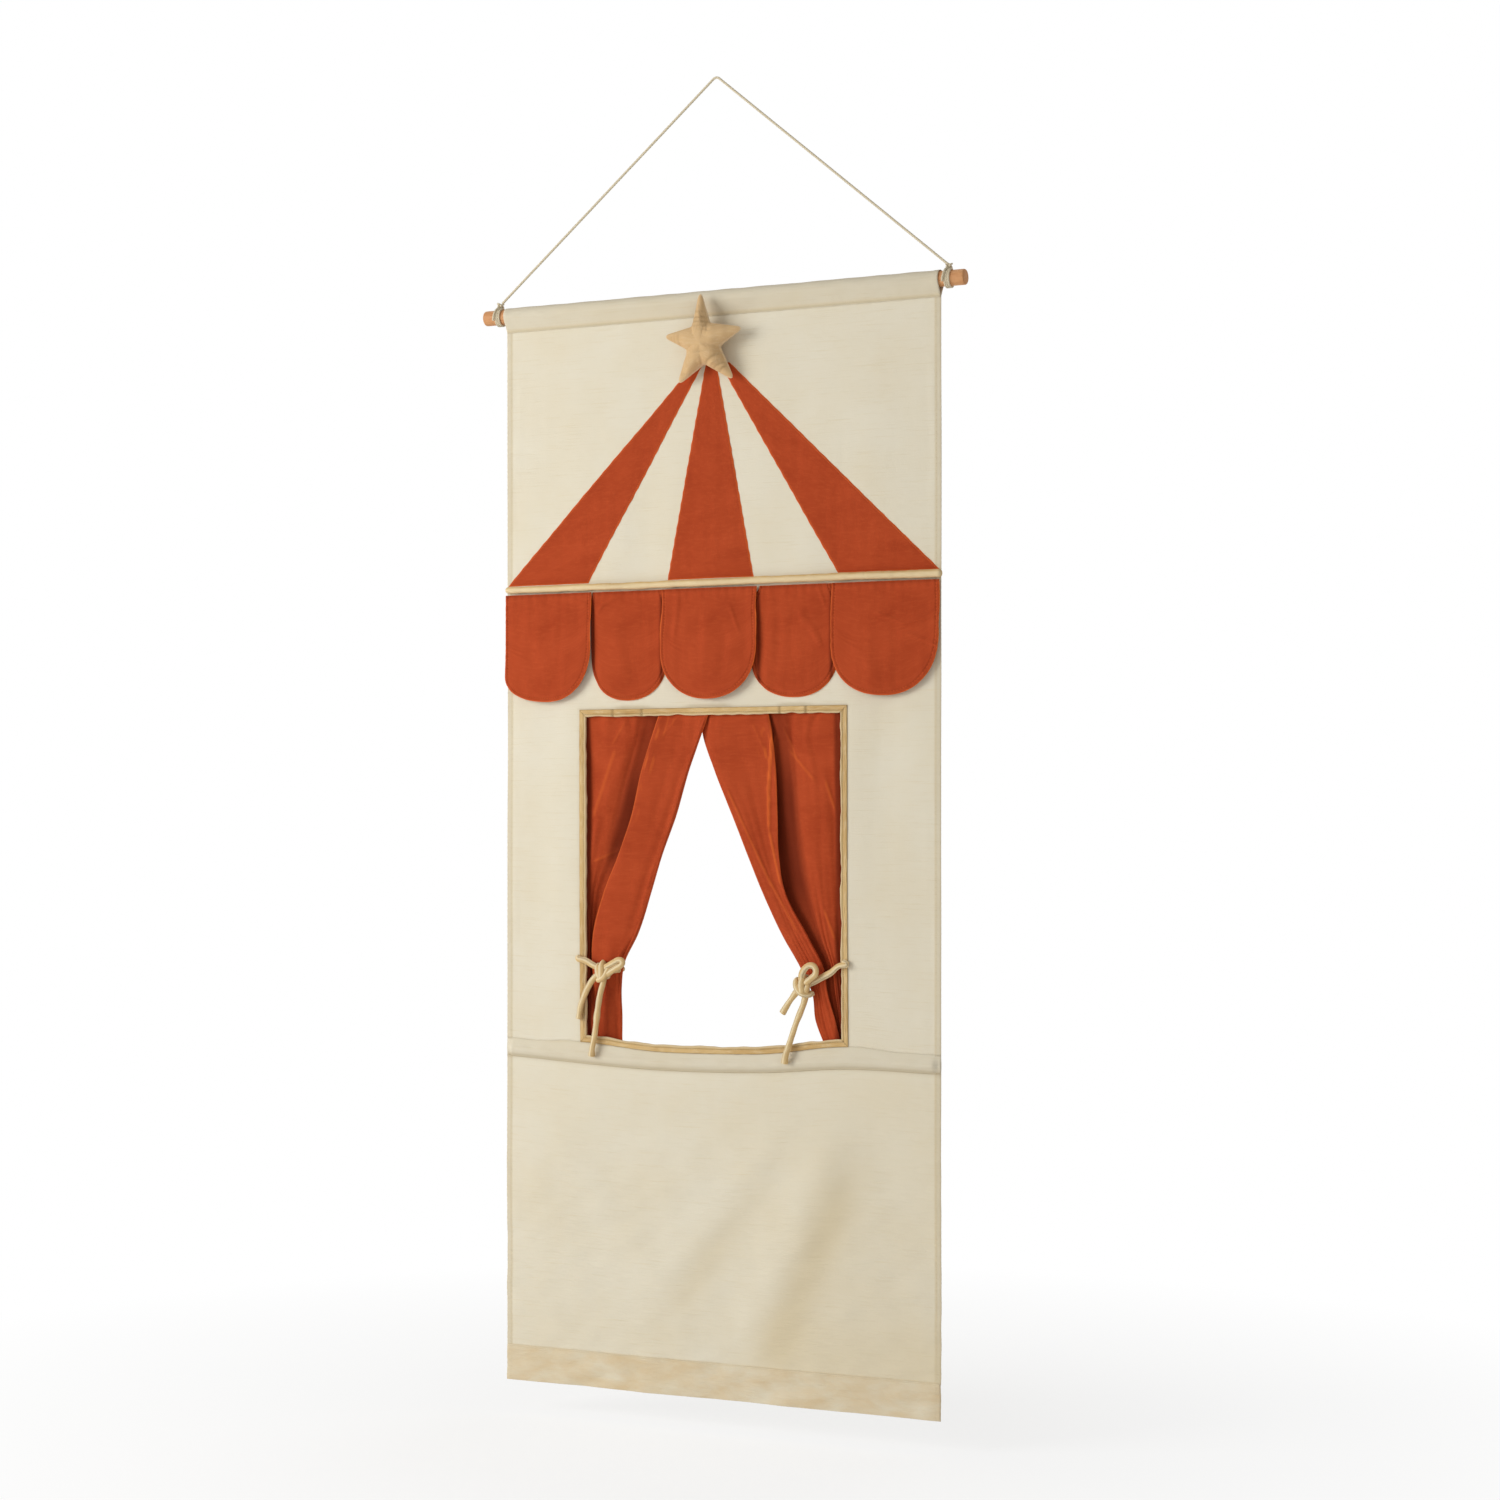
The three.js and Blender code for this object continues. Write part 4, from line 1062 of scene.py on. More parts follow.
# Where the flaps' painted shadows darken the canvas above the window, from x to x
FLAP_SHADOWS = ((-0.161, -0.108), (-0.045, 0.026), (0.102, 0.149))

# Where light that comes through the skirt's folds warms them
WARM_FOLDS = [
    # start x, z, end x, z, half width, strength
    (0.200, -1.600, 0.094, -1.830, 0.030, 0.75),
    (0.050, -1.620, -0.060, -1.770, 0.020, 0.35),
]


def build_upper_canvas():
    """The upper panel, with the window cut in it and its side hems sewn."""
    thickness = sizes().canvas_thickness
    margin = 2.5 * MM
    hole = (WINDOW_LEFT - margin, WINDOW_RIGHT + margin, WINDOW_BOTTOM - margin, WINDOW_TOP + margin)
    stops = [WINDOW_TOP + margin, WINDOW_BOTTOM - margin]
    patch = canvas_grid(PANEL_TOP - 0.2 * MM, PANEL_BOTTOM + 0.2 * MM, stops, hole)
    patch.edge, patch.shade = tint_and_painted_shade(patch.points)
    obj = make("upper_canvas", patch, "canvas", thickness)
    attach(obj, "banner")
    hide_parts("upper_panel")
    height = PANEL_TOP - PANEL_BOTTOM
    window = (hole[1] - hole[0]) * (hole[3] - hole[2])
    flat = (2 * HALF + 2 * sizes().hem_width, height)
    flat[0] * flat[1] - window
    rows = hem_rows(PANEL_TOP - 2 * MM, PANEL_BOTTOM + 2 * MM, -1.5 * thickness)
    thread = stitches("upper_hem_stitches", rows, "cream_thread")
    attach(thread, "banner")


def tint_and_painted_shade(points):
    """Where folded cloth and seams look warmer: along the hem's stitches and on its fold, with painted warm
    light where light comes through the skirt, warmer towards its lower right. Also returns painted shade:
    where the cloth lies double in the hems and lets less light through, the line below the sill pocket, the
    shadow beside the window's binding, and the flaps' shadows above the window."""
    x, z = points[..., X], points[..., Z]
    away = HALF - np.abs(x)
    line = hill(away - sizes().hem_width + 1.5 * MM, 1.4 * MM)
    # Painted shade where the hems lie double and let less light through, and a painted shadow along the line
    # below the sill pocket
    shade = 0.35 * (away < sizes().hem_width)
    shade = shade + 0.9 * hill(z + drop(x, SILL_Z) - SILL_SEAM - 2 * MM, 3.5 * MM) * (z < SILL_Z)
    outer_x = np.abs(x - WINDOW_MIDDLE) - WINDOW_HALF - BINDING_WIDTH
    above = z - WINDOW_TOP - BINDING_WIDTH
    under = WINDOW_BOTTOM - BINDING_WIDTH - z - drop(x, z)
    outside = np.maximum(outer_x, np.maximum(above, under))
    # Painted shadow beside the window's binding
    shade = shade + 0.55 * hill(outside, 2.6 * MM)
    fade = 12 * MM
    # Painted shadows of the flaps on the canvas above the window
    streaks = sum(smooth(x, a - fade, a + fade) * (1 - smooth(x, b - fade, b + fade)) for a, b in FLAP_SHADOWS)
    shade = shade + 0.8 * hill(above - 2 * MM, 3 * MM) * streaks
    # Painted warm light where light comes through the skirt's folds, and warmer towards its lower right
    warm = sum(ridge(x, z, fold) for fold in WARM_FOLDS) + 0.25 * smooth(x, 0, 0.2)
    warm = warm + 0.45 * smooth(z, -1.74, -1.84) * smooth(x, -0.02, 0.12)
    return 0.7 * line + 0.5 * hill(away, 2 * MM) + warm * smooth(z, SILL_Z, SILL_Z - 0.03), shade


def build_sill():
    """The sill rod in its canvas pocket, both sagging a little."""
    rod = turned_bar(SILL_ROD_HALF - 7 * MM, SILL_RADIUS, MM, sides=32)
    rod.points[..., Z] += SILL_Z
    rod.points[..., Z] -= drop(rod.points[..., X], SILL_Z)
    rod_piece = make("sill_dowel", rod, "rod")
    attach(rod_piece, "banner")
    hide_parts("sill_rod")
    rise = PANEL_BOTTOM - SILL_Z + MM
    outline = tunnel(SILL_RADIUS + 1.1 * MM, 0.75 * MM, SILL_Z - SILL_SEAM, rise, 16)
    points = along_x(outline, -HALF, HALF, 320, SILL_Z)
    x, y, z = points[..., X], points[..., Y], points[..., Z]
    wrinkle = 0.3 * MM * ripples(x, z * 2, 0.035, 31)
    wrinkle = wrinkle + gathers(x, z, 0.25 * MM, 0.014, 27, SILL_SEAM, 5 * MM)
    bulge = share(np.abs(y), MM, 5 * MM)
    y += np.sign(y) * wrinkle * bulge
    y *= 1 - 0.8 * smooth(np.abs(x), HALF - 12 * MM, HALF - 2 * MM)
    z -= drop(x, np.maximum(z, SILL_Z))
    above_seam = z + drop(x, SILL_Z) - SILL_SEAM
    seam = 0.7 * hill(above_seam, 1.8 * MM)
    # Painted shade: the doubled pocket lets less light through, and a shadow lies along its underside just
    # above its seam
    under = hill(above_seam - 2.5 * MM, 3 * MM)
    patch = Patch(points, x[:, 0], lengths(outline), edge=seam, shade=0.22 + 0.6 * under)
    obj = make("sill_pocket_canvas", patch, "canvas", sizes().canvas_thickness)
    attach(obj, "banner")
    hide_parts("sill_pocket")
    rows = [seam_line(-1.75 * MM, SILL_SEAM + 1.3 * MM), seam_line(-1.4 * MM, PANEL_BOTTOM - 0.6 * MM)]
    for row in rows:
        row[:, Z] -= drop(row[:, X], np.maximum(row[:, Z], SILL_Z))
    thread = stitches("sill_stitches", rows, "cream_thread")
    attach(thread, "banner")


def build_skirt():
    """The lower panel, with its side hems."""
    thickness = sizes().canvas_thickness
    top = SILL_SEAM + 1.4 * MM
    bottom = HEM_TOP - 1.5 * MM
    patch = canvas_grid(top, bottom, [])
    patch.edge, patch.shade = tint_and_painted_shade(patch.points)
    obj = make("lower_canvas", patch, "canvas", thickness)
    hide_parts("lower_panel")
    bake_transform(obj)
    rows = hem_rows(top - 4 * MM, bottom + 2 * MM, -1.5 * thickness)
    thread = stitches("lower_hem_stitches", rows, "cream_thread")
    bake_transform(thread)


def build_bottom_hem():
    """The deep double hem: two layers with a soft fold at the bottom and turned ends."""
    x = np.linspace(-HALF, HALF, 300)
    turn = np.linspace(0, np.pi, 9)
    half = 1.15 * MM
    fold_z = BOTTOM + half + 0.5 * MM
    face = np.linspace(HEM_TOP, fold_z, 26)[:-1]
    y = np.concatenate([np.full(25, -half), -half * np.cos(turn), np.full(25, half)])
    z = np.concatenate([face, fold_z - half * np.sin(turn), face[::-1]])
    taper = 1 - 0.55 * hill(HALF - np.abs(x), 1.2 * MM)[:, None]
    points = grid(x[:, None], y * taper - 0.55 * MM, z)
    first, last = points.copy()[:1], points.copy()[-1:]
    first[..., Y] = last[..., Y] = -0.55 * MM
    points = hang(np.concatenate([first, points, last]))
    place = np.concatenate([[x[0] - MM], x, [x[-1] + MM]])
    # A warmer tone on the whole hem, partly painted where its doubled cloth lets less light through, and
    # warmer along its stitched top and turned ends
    tint = 0.3 + 0.4 * hill(points[..., Z] - HEM_TOP, 2 * MM)
    tint = tint + 0.3 * hill(HALF - np.abs(points[..., X]), 3 * MM)
    patches = [Patch(points, place, lengths(np.stack([y, z], 1)), edge=tint)]
    cap = np.stack([points[:, 0], points[:, -1]], 1)
    patches.append(Patch(cap, place, [0, MM], edge=np.full(cap.shape[:2], 0.6)))
    obj = make("bottom_hem_canvas", patches, "canvas")
    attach(obj, "skirt")
    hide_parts("bottom_hem")
    front = -1.85 * MM
    rows = [hang(seam_line(front, HEM_TOP - 2.2 * MM))]
    for x in (-HALF + 7 * MM, HALF - 7 * MM):
        rows.append(hang(straight((x, front, HEM_TOP - MM), (x, front, BOTTOM + 2 * MM))))
    thread = stitches("bottom_hem_stitches", rows, "cream_thread")
    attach(thread, "skirt")


# The roof


def line_distance(x, z, start, stop):
    """Distance of points from the straight line through two places."""
    dx, dz = stop[0] - start[0], stop[1] - start[1]
    return np.abs((x - start[0]) * dz - (z - start[1]) * dx) / math.hypot(dx, dz)


def wedge_corners(node):
    """Lower left, lower right, upper right and upper left corner of a wedge, in X and Z."""
    points = np.array([v.co for v in frame["nodes"][node].data.vertices])[:, [X, Z]]
    foot, head = low(node, Z), high(node, Z)
    at_foot = points[points[:, 1] < foot + MM, 0]
    at_head = points[points[:, 1] > head - MM, 0]
    return (at_foot.min(), foot), (at_foot.max(), foot), (at_head.max(), head), (at_head.min(), head)


def build_wedges():
    """Three velvet wedges sewn on the canvas: turned edges lie low, and the cloth is full between
    them."""
    rows = []
    front_of_stitches = -1.75 * MM
    for node, seed in (("left_wedge", 41), ("centre_wedge", 42), ("right_wedge", 43)):
        a, b, c, d = wedge_corners(node)
        u, v = np.meshgrid(np.linspace(0, 1, 42), np.linspace(0, 1, 120), indexing="ij")
        u = u - 0.12 * np.sin(2 * np.pi * u) / 2
        left_x, right_x = a[0] + (d[0] - a[0]) * v, b[0] + (c[0] - b[0]) * v
        z = a[1] + (d[1] - a[1]) * v
        wobble = 0.6 * MM * ripples(z, 0, 0.05, seed)
        x = left_x + (right_x - left_x) * u + wobble * (1 - 2 * np.abs(u - 0.5))
        x = x + 0.35 * MM * np.sin(2 * np.pi * z / 0.017 + seed) * np.abs(2 * u - 1)
        away = np.minimum(line_distance(x, z, a, d), line_distance(x, z, b, c))
        away = np.minimum(away, z - a[1])
        full = np.sqrt(share(away, 0, 2.2 * MM))
        front = -1.0 * MM - 0.95 * MM * full + 0.35 * MM * hill(away - 2.6 * MM, 0.9 * MM)
        front = front - 0.3 * MM * ripples(x, 0.5 * z, 0.06, seed + 5) * smooth(away, 3 * MM, 15 * MM)
        face = hang(grid(x, front, z))
        back = hang(grid(x, -0.85 * MM, z))
        # Painted highlight along the turned edges
        edge = 0.9 * hill(away, 1.5 * MM)
        patches = shell(face, back, (u[:, 60] - 0.5) * (b[0] - a[0]), z[0], edge)
        obj = make(f"{node}_velvet", patches, "rust", sharp=1.2)
        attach(obj, "banner")
        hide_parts(node)
        width, length = b[0] - a[0], d[1] - a[1]
        area = max((width + (c[0] - d[0])) / 2 * length, 0.31 * width * length)
        for foot, head, way in ((a, d, 1), (b, c, -1)):
            slope = (head[0] - foot[0]) / (head[1] - foot[1])
            shift = way * 2.6 * MM * math.hypot(1, slope)
            start = (foot[0] + shift + slope * 3 * MM, front_of_stitches, foot[1] + 3 * MM)
            stop = (head[0] + shift, front_of_stitches, head[1])
            rows.append(hang(straight(start, stop)))
    thread = stitches("wedge_stitches", rows, "rust_thread", 3 * MM, 0.45 * MM)
    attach(thread, "banner")


# Where the piping is tucked
PIPING_TUCKS = (-0.171, -0.166, -0.02, 0.061, 0.066, 0.071, 0.24)


def build_piping():
    """The stuffed velvet roll at the foot of the roof: a little uneven, gathered here and there,
    and closed with a round end at both sides."""
    x = np.linspace(-HALF + 5 * MM, HALF - 0.4 * MM, 460)
    path = grid(x, PIPING_Y, PIPING_Z)
    path[:, Z] += 0.5 * MM * ripples(x, 0, 0.14, 51)
    angle = angles(30)[None]
    pinch = 0.05 * ripples(x, 0, 0.05, 52) + 0.03 * ripples(x, 0, 0.018, 53)
    tucks = sum(hill(x - place, 1.3 * MM) for place in PIPING_TUCKS)
    fuller = 0.8 + 0.15 * share(x, -HALF, HALF)
    radius = PIPING_RADIUS * (fuller + pinch - 0.08 * tucks)[:, None]
    seam = 0.1 * hill(np.cos(angle + 0.5 * np.pi) - 1, 0.06)
    section = ring(angle, radius, radius) * (1 - seam)[..., None]
    patch = tube_patch(sweep(path, section, FRONT, 4.5 * MM))
    patch.points[..., Y] -= relief(patch.points[..., X], PIPING_Z)
    # Painted highlight along the front of the piping
    light = 0.7 * hill(np.sin(angle + 0.3) - 1, 0.35)
    patch.edge = np.broadcast_to(light, patch.edge.shape)
    obj = make("roof_piping_velvet", patch, "sand")
    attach(obj, "banner")
    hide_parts("roof_piping")


# The star: the depth of its middle in millimetres, and its corners in X and Z from there
STAR_DEPTH = 81
STAR_TIPS = np.array([(-3.3, 70.8), (58.4, 18.8), (41.8, -49.5), (-42.2, -50.9), (-61.0, 14.9)]) * MM
STAR_NOTCHES = np.array([(12.2, 32.2), (26.6, -4.4), (-1.4, -30.6), (-28.4, -8.0), (-19.6, 28.4)]) * MM
STAR_TIP_WIDTH = 4.4 * MM
# Stuffing draws the cloth in, so it is cut this much larger than the star
STAR_CUT = 1.09
# Its upper tip leans forwards
STAR_LEAN = math.radians(5.2)
STAR_CREASES = [
    # start x, z, end x, z, half width, height towards the front
    (-0.012, 0.047, 0.005, 0.045, 1.2 * MM, -0.6 * MM),
    (-0.014, 0.038, 0.007, 0.037, 1.3 * MM, -1.0 * MM),
    (-0.017, 0.032, 0.009, 0.030, 1.3 * MM, -1.0 * MM),
    (-0.014, 0.026, 0.010, 0.024, 1.4 * MM, -0.8 * MM),
    (-0.004, 0.021, 0.016, 0.017, 1.4 * MM, -0.5 * MM),
    (-0.013, -0.012, 0.015, -0.010, 1.8 * MM, -0.4 * MM),
    (0.004, -0.029, 0.028, -0.015, 1.6 * MM, -1.0 * MM),
    (0.008, -0.033, 0.033, -0.021, 1.6 * MM, 1.0 * MM),
    (0.012, -0.038, 0.034, -0.028, 1.4 * MM, -1.1 * MM),
    (0.020, -0.044, 0.036, -0.034, 1.4 * MM, -0.9 * MM),
    (-0.036, -0.041, -0.018, -0.042, 1.3 * MM, -0.6 * MM),
    (-0.037, -0.048, -0.024, -0.049, 1.3 * MM, -0.6 * MM),
    (-0.050, 0.012, -0.051, 0.002, 1.3 * MM, -0.6 * MM),
    (-0.044, 0.014, -0.045, -0.002, 1.4 * MM, -0.6 * MM),
    (-0.036, 0.016, -0.037, -0.006, 1.5 * MM, -0.6 * MM),
]


def star_outline():
    """The star's outline: straight lines between blunt tips and notches, evenly divided and then
    rounded with a running mean that is weighted as a bell."""
    outward = unit(STAR_TIPS)
    sideways = np.stack([-outward[:, 1], outward[:, 0]], -1) * STAR_TIP_WIDTH / 2
    blunt = STAR_TIPS + outward * MM
    corners = np.stack([blunt + sideways, blunt - sideways, STAR_NOTCHES], 1)
    corners = closed(corners.reshape(-1, 2))
    travelled = lengths(corners)
    count = 900
    line = read_along(corners, travelled, np.linspace(0, travelled[-1], count, endpoint=False))
    shifts = np.arange(-20, 21)
    weights = hill(shifts * travelled[-1] / count, 3.2 * MM)
    return sum(w * np.roll(line, k, 0) for k, w in zip(shifts, weights / weights.sum()))


def star_reach(angle):
    """Distance from the star's middle to its outline, at an angle from straight up."""
    line = star_outline()
    turn = np.arctan2(line[:, 0], line[:, 1])
    order = np.argsort(turn)
    return np.interp(angle, turn[order], np.hypot(line[:, 0], line[:, 1])[order], period=2 * np.pi)


def membrane(inside, rounds=1500):
    """Height of a film blown up over a flat shape: each place settles at the mean of its
    neighbours plus a little, and the edge stays at 0. The result is scaled to 1."""
    film = np.zeros(inside.shape)
    for _ in range(rounds):
        mean = (film[:-2, 1:-1] + film[2:, 1:-1] + film[1:-1, :-2] + film[1:-1, 2:]) / 4
        film[1:-1, 1:-1] = np.where(inside[1:-1, 1:-1], mean + 1e-3, 0)
    return np.sqrt(film / film.max())


def sample(field, x, z, reach):
    """A square field over -reach to reach, read between its points."""
    size = field.shape[0] - 1
    i = np.clip((x / reach + 1) / 2 * size, 0, size - 1e-6)
    j = np.clip((z / reach + 1) / 2 * size, 0, size - 1e-6)
    i0, j0 = i.astype(int), j.astype(int)
    fi, fj = i - i0, j - j0
    top = field[i0, j0] * (1 - fj) + field[i0, j0 + 1] * fj
    return top * (1 - fi) + (field[i0 + 1, j0] * (1 - fj) + field[i0 + 1, j0 + 1] * fj) * fi


def disc_grid(count):
    """A square grid bent into a disc: each square ring becomes a circle. Returns radius and angle."""
    line = np.linspace(-1, 1, count)
    u, v = np.meshgrid(line, line, indexing="ij")
    wide = np.abs(u) >= np.abs(v)
    radius = np.where(wide, u, v)
    part = np.where(wide, v, u) / np.where(radius == 0, 1, radius)
    angle = np.where(wide, np.pi / 2 - np.pi / 4 * part, np.pi / 4 * part)
    return np.abs(radius), angle + np.where(radius < 0, np.pi, 0)


def blow_up(obj, pressure, frames, bending):
    """Fills a sewn cloth shape with air by simulation, and keeps the shape that it takes."""
    scene = bpy.context.scene
    modifier = obj.modifiers.new("stuffing", "CLOTH")
    settings = modifier.settings
    settings.use_pressure = True
    settings.uniform_pressure_force = pressure
    settings.bending_stiffness = bending
    settings.quality = 6
    settings.effector_weights.gravity = 0
    for step in range(1, frames + 1):
        scene.frame_set(step)
    apply_modifiers(obj)
    scene.frame_set(1)


def subdivide(obj):
    """One level of subdivision, applied."""
    modifier = obj.modifiers.new("rounding", "SUBSURF")
    modifier.levels = modifier.render_levels = 1
    apply_modifiers(obj)


def points_of(obj):
    """The mesh's points as an array."""
    flat = np.empty(len(obj.data.vertices) * 3)
    obj.data.vertices.foreach_get("co", flat)
    return flat.reshape(-1, 3)


def put_points(obj, points):
    """Gives the mesh these points."""
    obj.data.vertices.foreach_set("co", points.astype(np.float32).ravel())
    obj.data.update()


def build_star():
    """The stuffed star: two flat cloths sewn at the outline and filled by simulation, which wrinkles
    them as stuffing does, with the creases of the arms and notches pressed in afterwards."""
    reach = 80 * MM
    line = np.linspace(-reach, reach, 121)
    gx, gz = np.meshgrid(line, line, indexing="ij")
    film = membrane(np.hypot(gx, gz) < star_reach(np.arctan2(gx, gz)))
    radius, angle = disc_grid(61)
    distance = radius * star_reach(angle)
    x, z = distance * np.sin(angle), distance * np.cos(angle)
    flat_half = 6.5 * MM
    height = (0.92 * sample(film, x, z, reach) + 0.08 * np.sqrt(1 - radius)) * flat_half
    height[[0, -1]] = height[:, [0, -1]] = 0
    # Painted highlight along the seam of the outline
    seam = 0.8 * hill(1 - radius, 0.035)
    cloth_lines = np.linspace(-60 * MM, 60 * MM, 61)
    patches = [
        Patch(grid(x * STAR_CUT, side * height, z * STAR_CUT), cloth_lines, cloth_lines, edge=seam)
        for side in (-1, 1)
    ]
    obj = make("star_cushion_velvet", patches, "star")
    blow_up(obj, pressure=7, frames=22, bending=0.3)
    subdivide(obj)
    points = points_of(obj)
    outline = star_outline()
    for axis, column in ((X, 0), (Z, 1)):
        was = points[:, axis].min(), points[:, axis].max()
        now = outline[:, column].min(), outline[:, column].max()
        points[:, axis] = now[0] + (points[:, axis] - was[0]) * (now[1] - now[0]) / (was[1] - was[0])
    half = sizes().star_thickness / 2
    part = np.abs(points[:, Y]) / np.abs(points[:, Y]).max()
    arm = smooth(np.hypot(points[:, X], points[:, Z]), 26 * MM, 66 * MM)
    points[:, Y] = np.sign(points[:, Y]) * half * (1 - (1 - part) ** 2.2) * (1 - 0.3 * arm)
    creases = sum(ridge(points[:, X], points[:, Z], crease, 6 * MM) for crease in STAR_CREASES)
    folds = 1.5 * creases + 0.3 * MM * ripples(points[:, X], points[:, Z], 0.02, 63)
    points[:, Y] -= folds * smooth(np.abs(points[:, Y]), 0, 6 * MM) * np.where(points[:, Y] < 0, 1, -0.6)
    # Painted shade in the creases
    shade = np.clip(-creases / (1.6 * MM), 0, 1) * 0.4
    obj.data.attributes["shade"].data.foreach_set("value", shade.astype(np.float32))
    points[:, Y] -= STAR_LEAN * points[:, Z]
    put_points(obj, points + (middle("star_cushion", X), middle("star_cushion", Y), at(STAR_DEPTH)))
    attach(obj, "banner")
    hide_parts("star_cushion")


FLAP_SHAPES = {
    # in millimetres, left and right: depth of the rounded part, and how far the lower part spreads
    1: (40, 84, 0, 0),
    2: (64, 60, 2, 7),
    3: (72, 80, 0, 0),
    4: (58, 64, 11, 8),
    5: (72, 88, 0, 0),
}
# The power of the curve of the rounded ends: 2 would make them half ellipses
FLAP_SQUARENESS = 2.2
FLAP_STITCH_INSET = 5 * MM
FLAP_STITCH_PITCH = 4.4 * MM
# How far the flaps in front stand off beside the ones behind them
FLAP_STAND_OFF = 3.7 * MM
FLAP_FOLDS = {
    # from the middle of the flap's upper edge: start x, z, end x, z, half width, height
    1: [(0.040, -0.010, 0.066, -0.016, 3 * MM, 0.8 * MM), (-0.030, -0.050, 0.010, -0.120, 14 * MM, 0.8 * MM)],
    2: [
        (-0.060, -0.043, -0.041, -0.021, 3.2 * MM, 1.5 * MM),
        (-0.043, -0.022, -0.016, -0.007, 3.2 * MM, 1.3 * MM),
        (-0.052, -0.020, -0.034, -0.008, 2.4 * MM, -0.9 * MM),
        (-0.020, -0.050, 0.000, -0.130, 12 * MM, 0.9 * MM),
    ],
    3: [
        (-0.048, -0.010, -0.055, -0.070, 4 * MM, 0.9 * MM),
        (0.036, -0.030, 0.048, -0.060, 3 * MM, 0.9 * MM),
        (-0.002, -0.040, -0.008, -0.140, 9 * MM, 0.9 * MM),
        (0.030, -0.070, 0.020, -0.130, 7 * MM, -0.8 * MM),
    ],
    4: [
        (0.010, -0.040, 0.044, -0.088, 7 * MM, 1.4 * MM),
        (0.040, -0.012, 0.052, -0.040, 3 * MM, 1.0 * MM),
        (-0.030, -0.030, -0.036, -0.110, 8 * MM, 0.8 * MM),
    ],
    5: [
        (-0.012, -0.045, 0.030, -0.060, 3 * MM, 0.9 * MM),
        (0.030, -0.060, 0.078, -0.050, 3 * MM, 0.9 * MM),
        (0.038, -0.076, 0.076, -0.090, 3 * MM, 0.8 * MM),
        (-0.040, -0.090, -0.010, -0.135, 10 * MM, 0.9 * MM),
    ],
}
# How far the lower end stands forward at the left and right side, in millimetres
FLAP_CURLS = {1: (0.9, 5.2), 2: (1.2, 1.2), 3: (4.2, 5.0), 4: (1.2, 1.2), 5: (4.8, 2.2)}


# Depths below each flap's upper edge, from just under its seam to below the piping
FLAP_BEND = (0.5 * MM, 13 * MM)


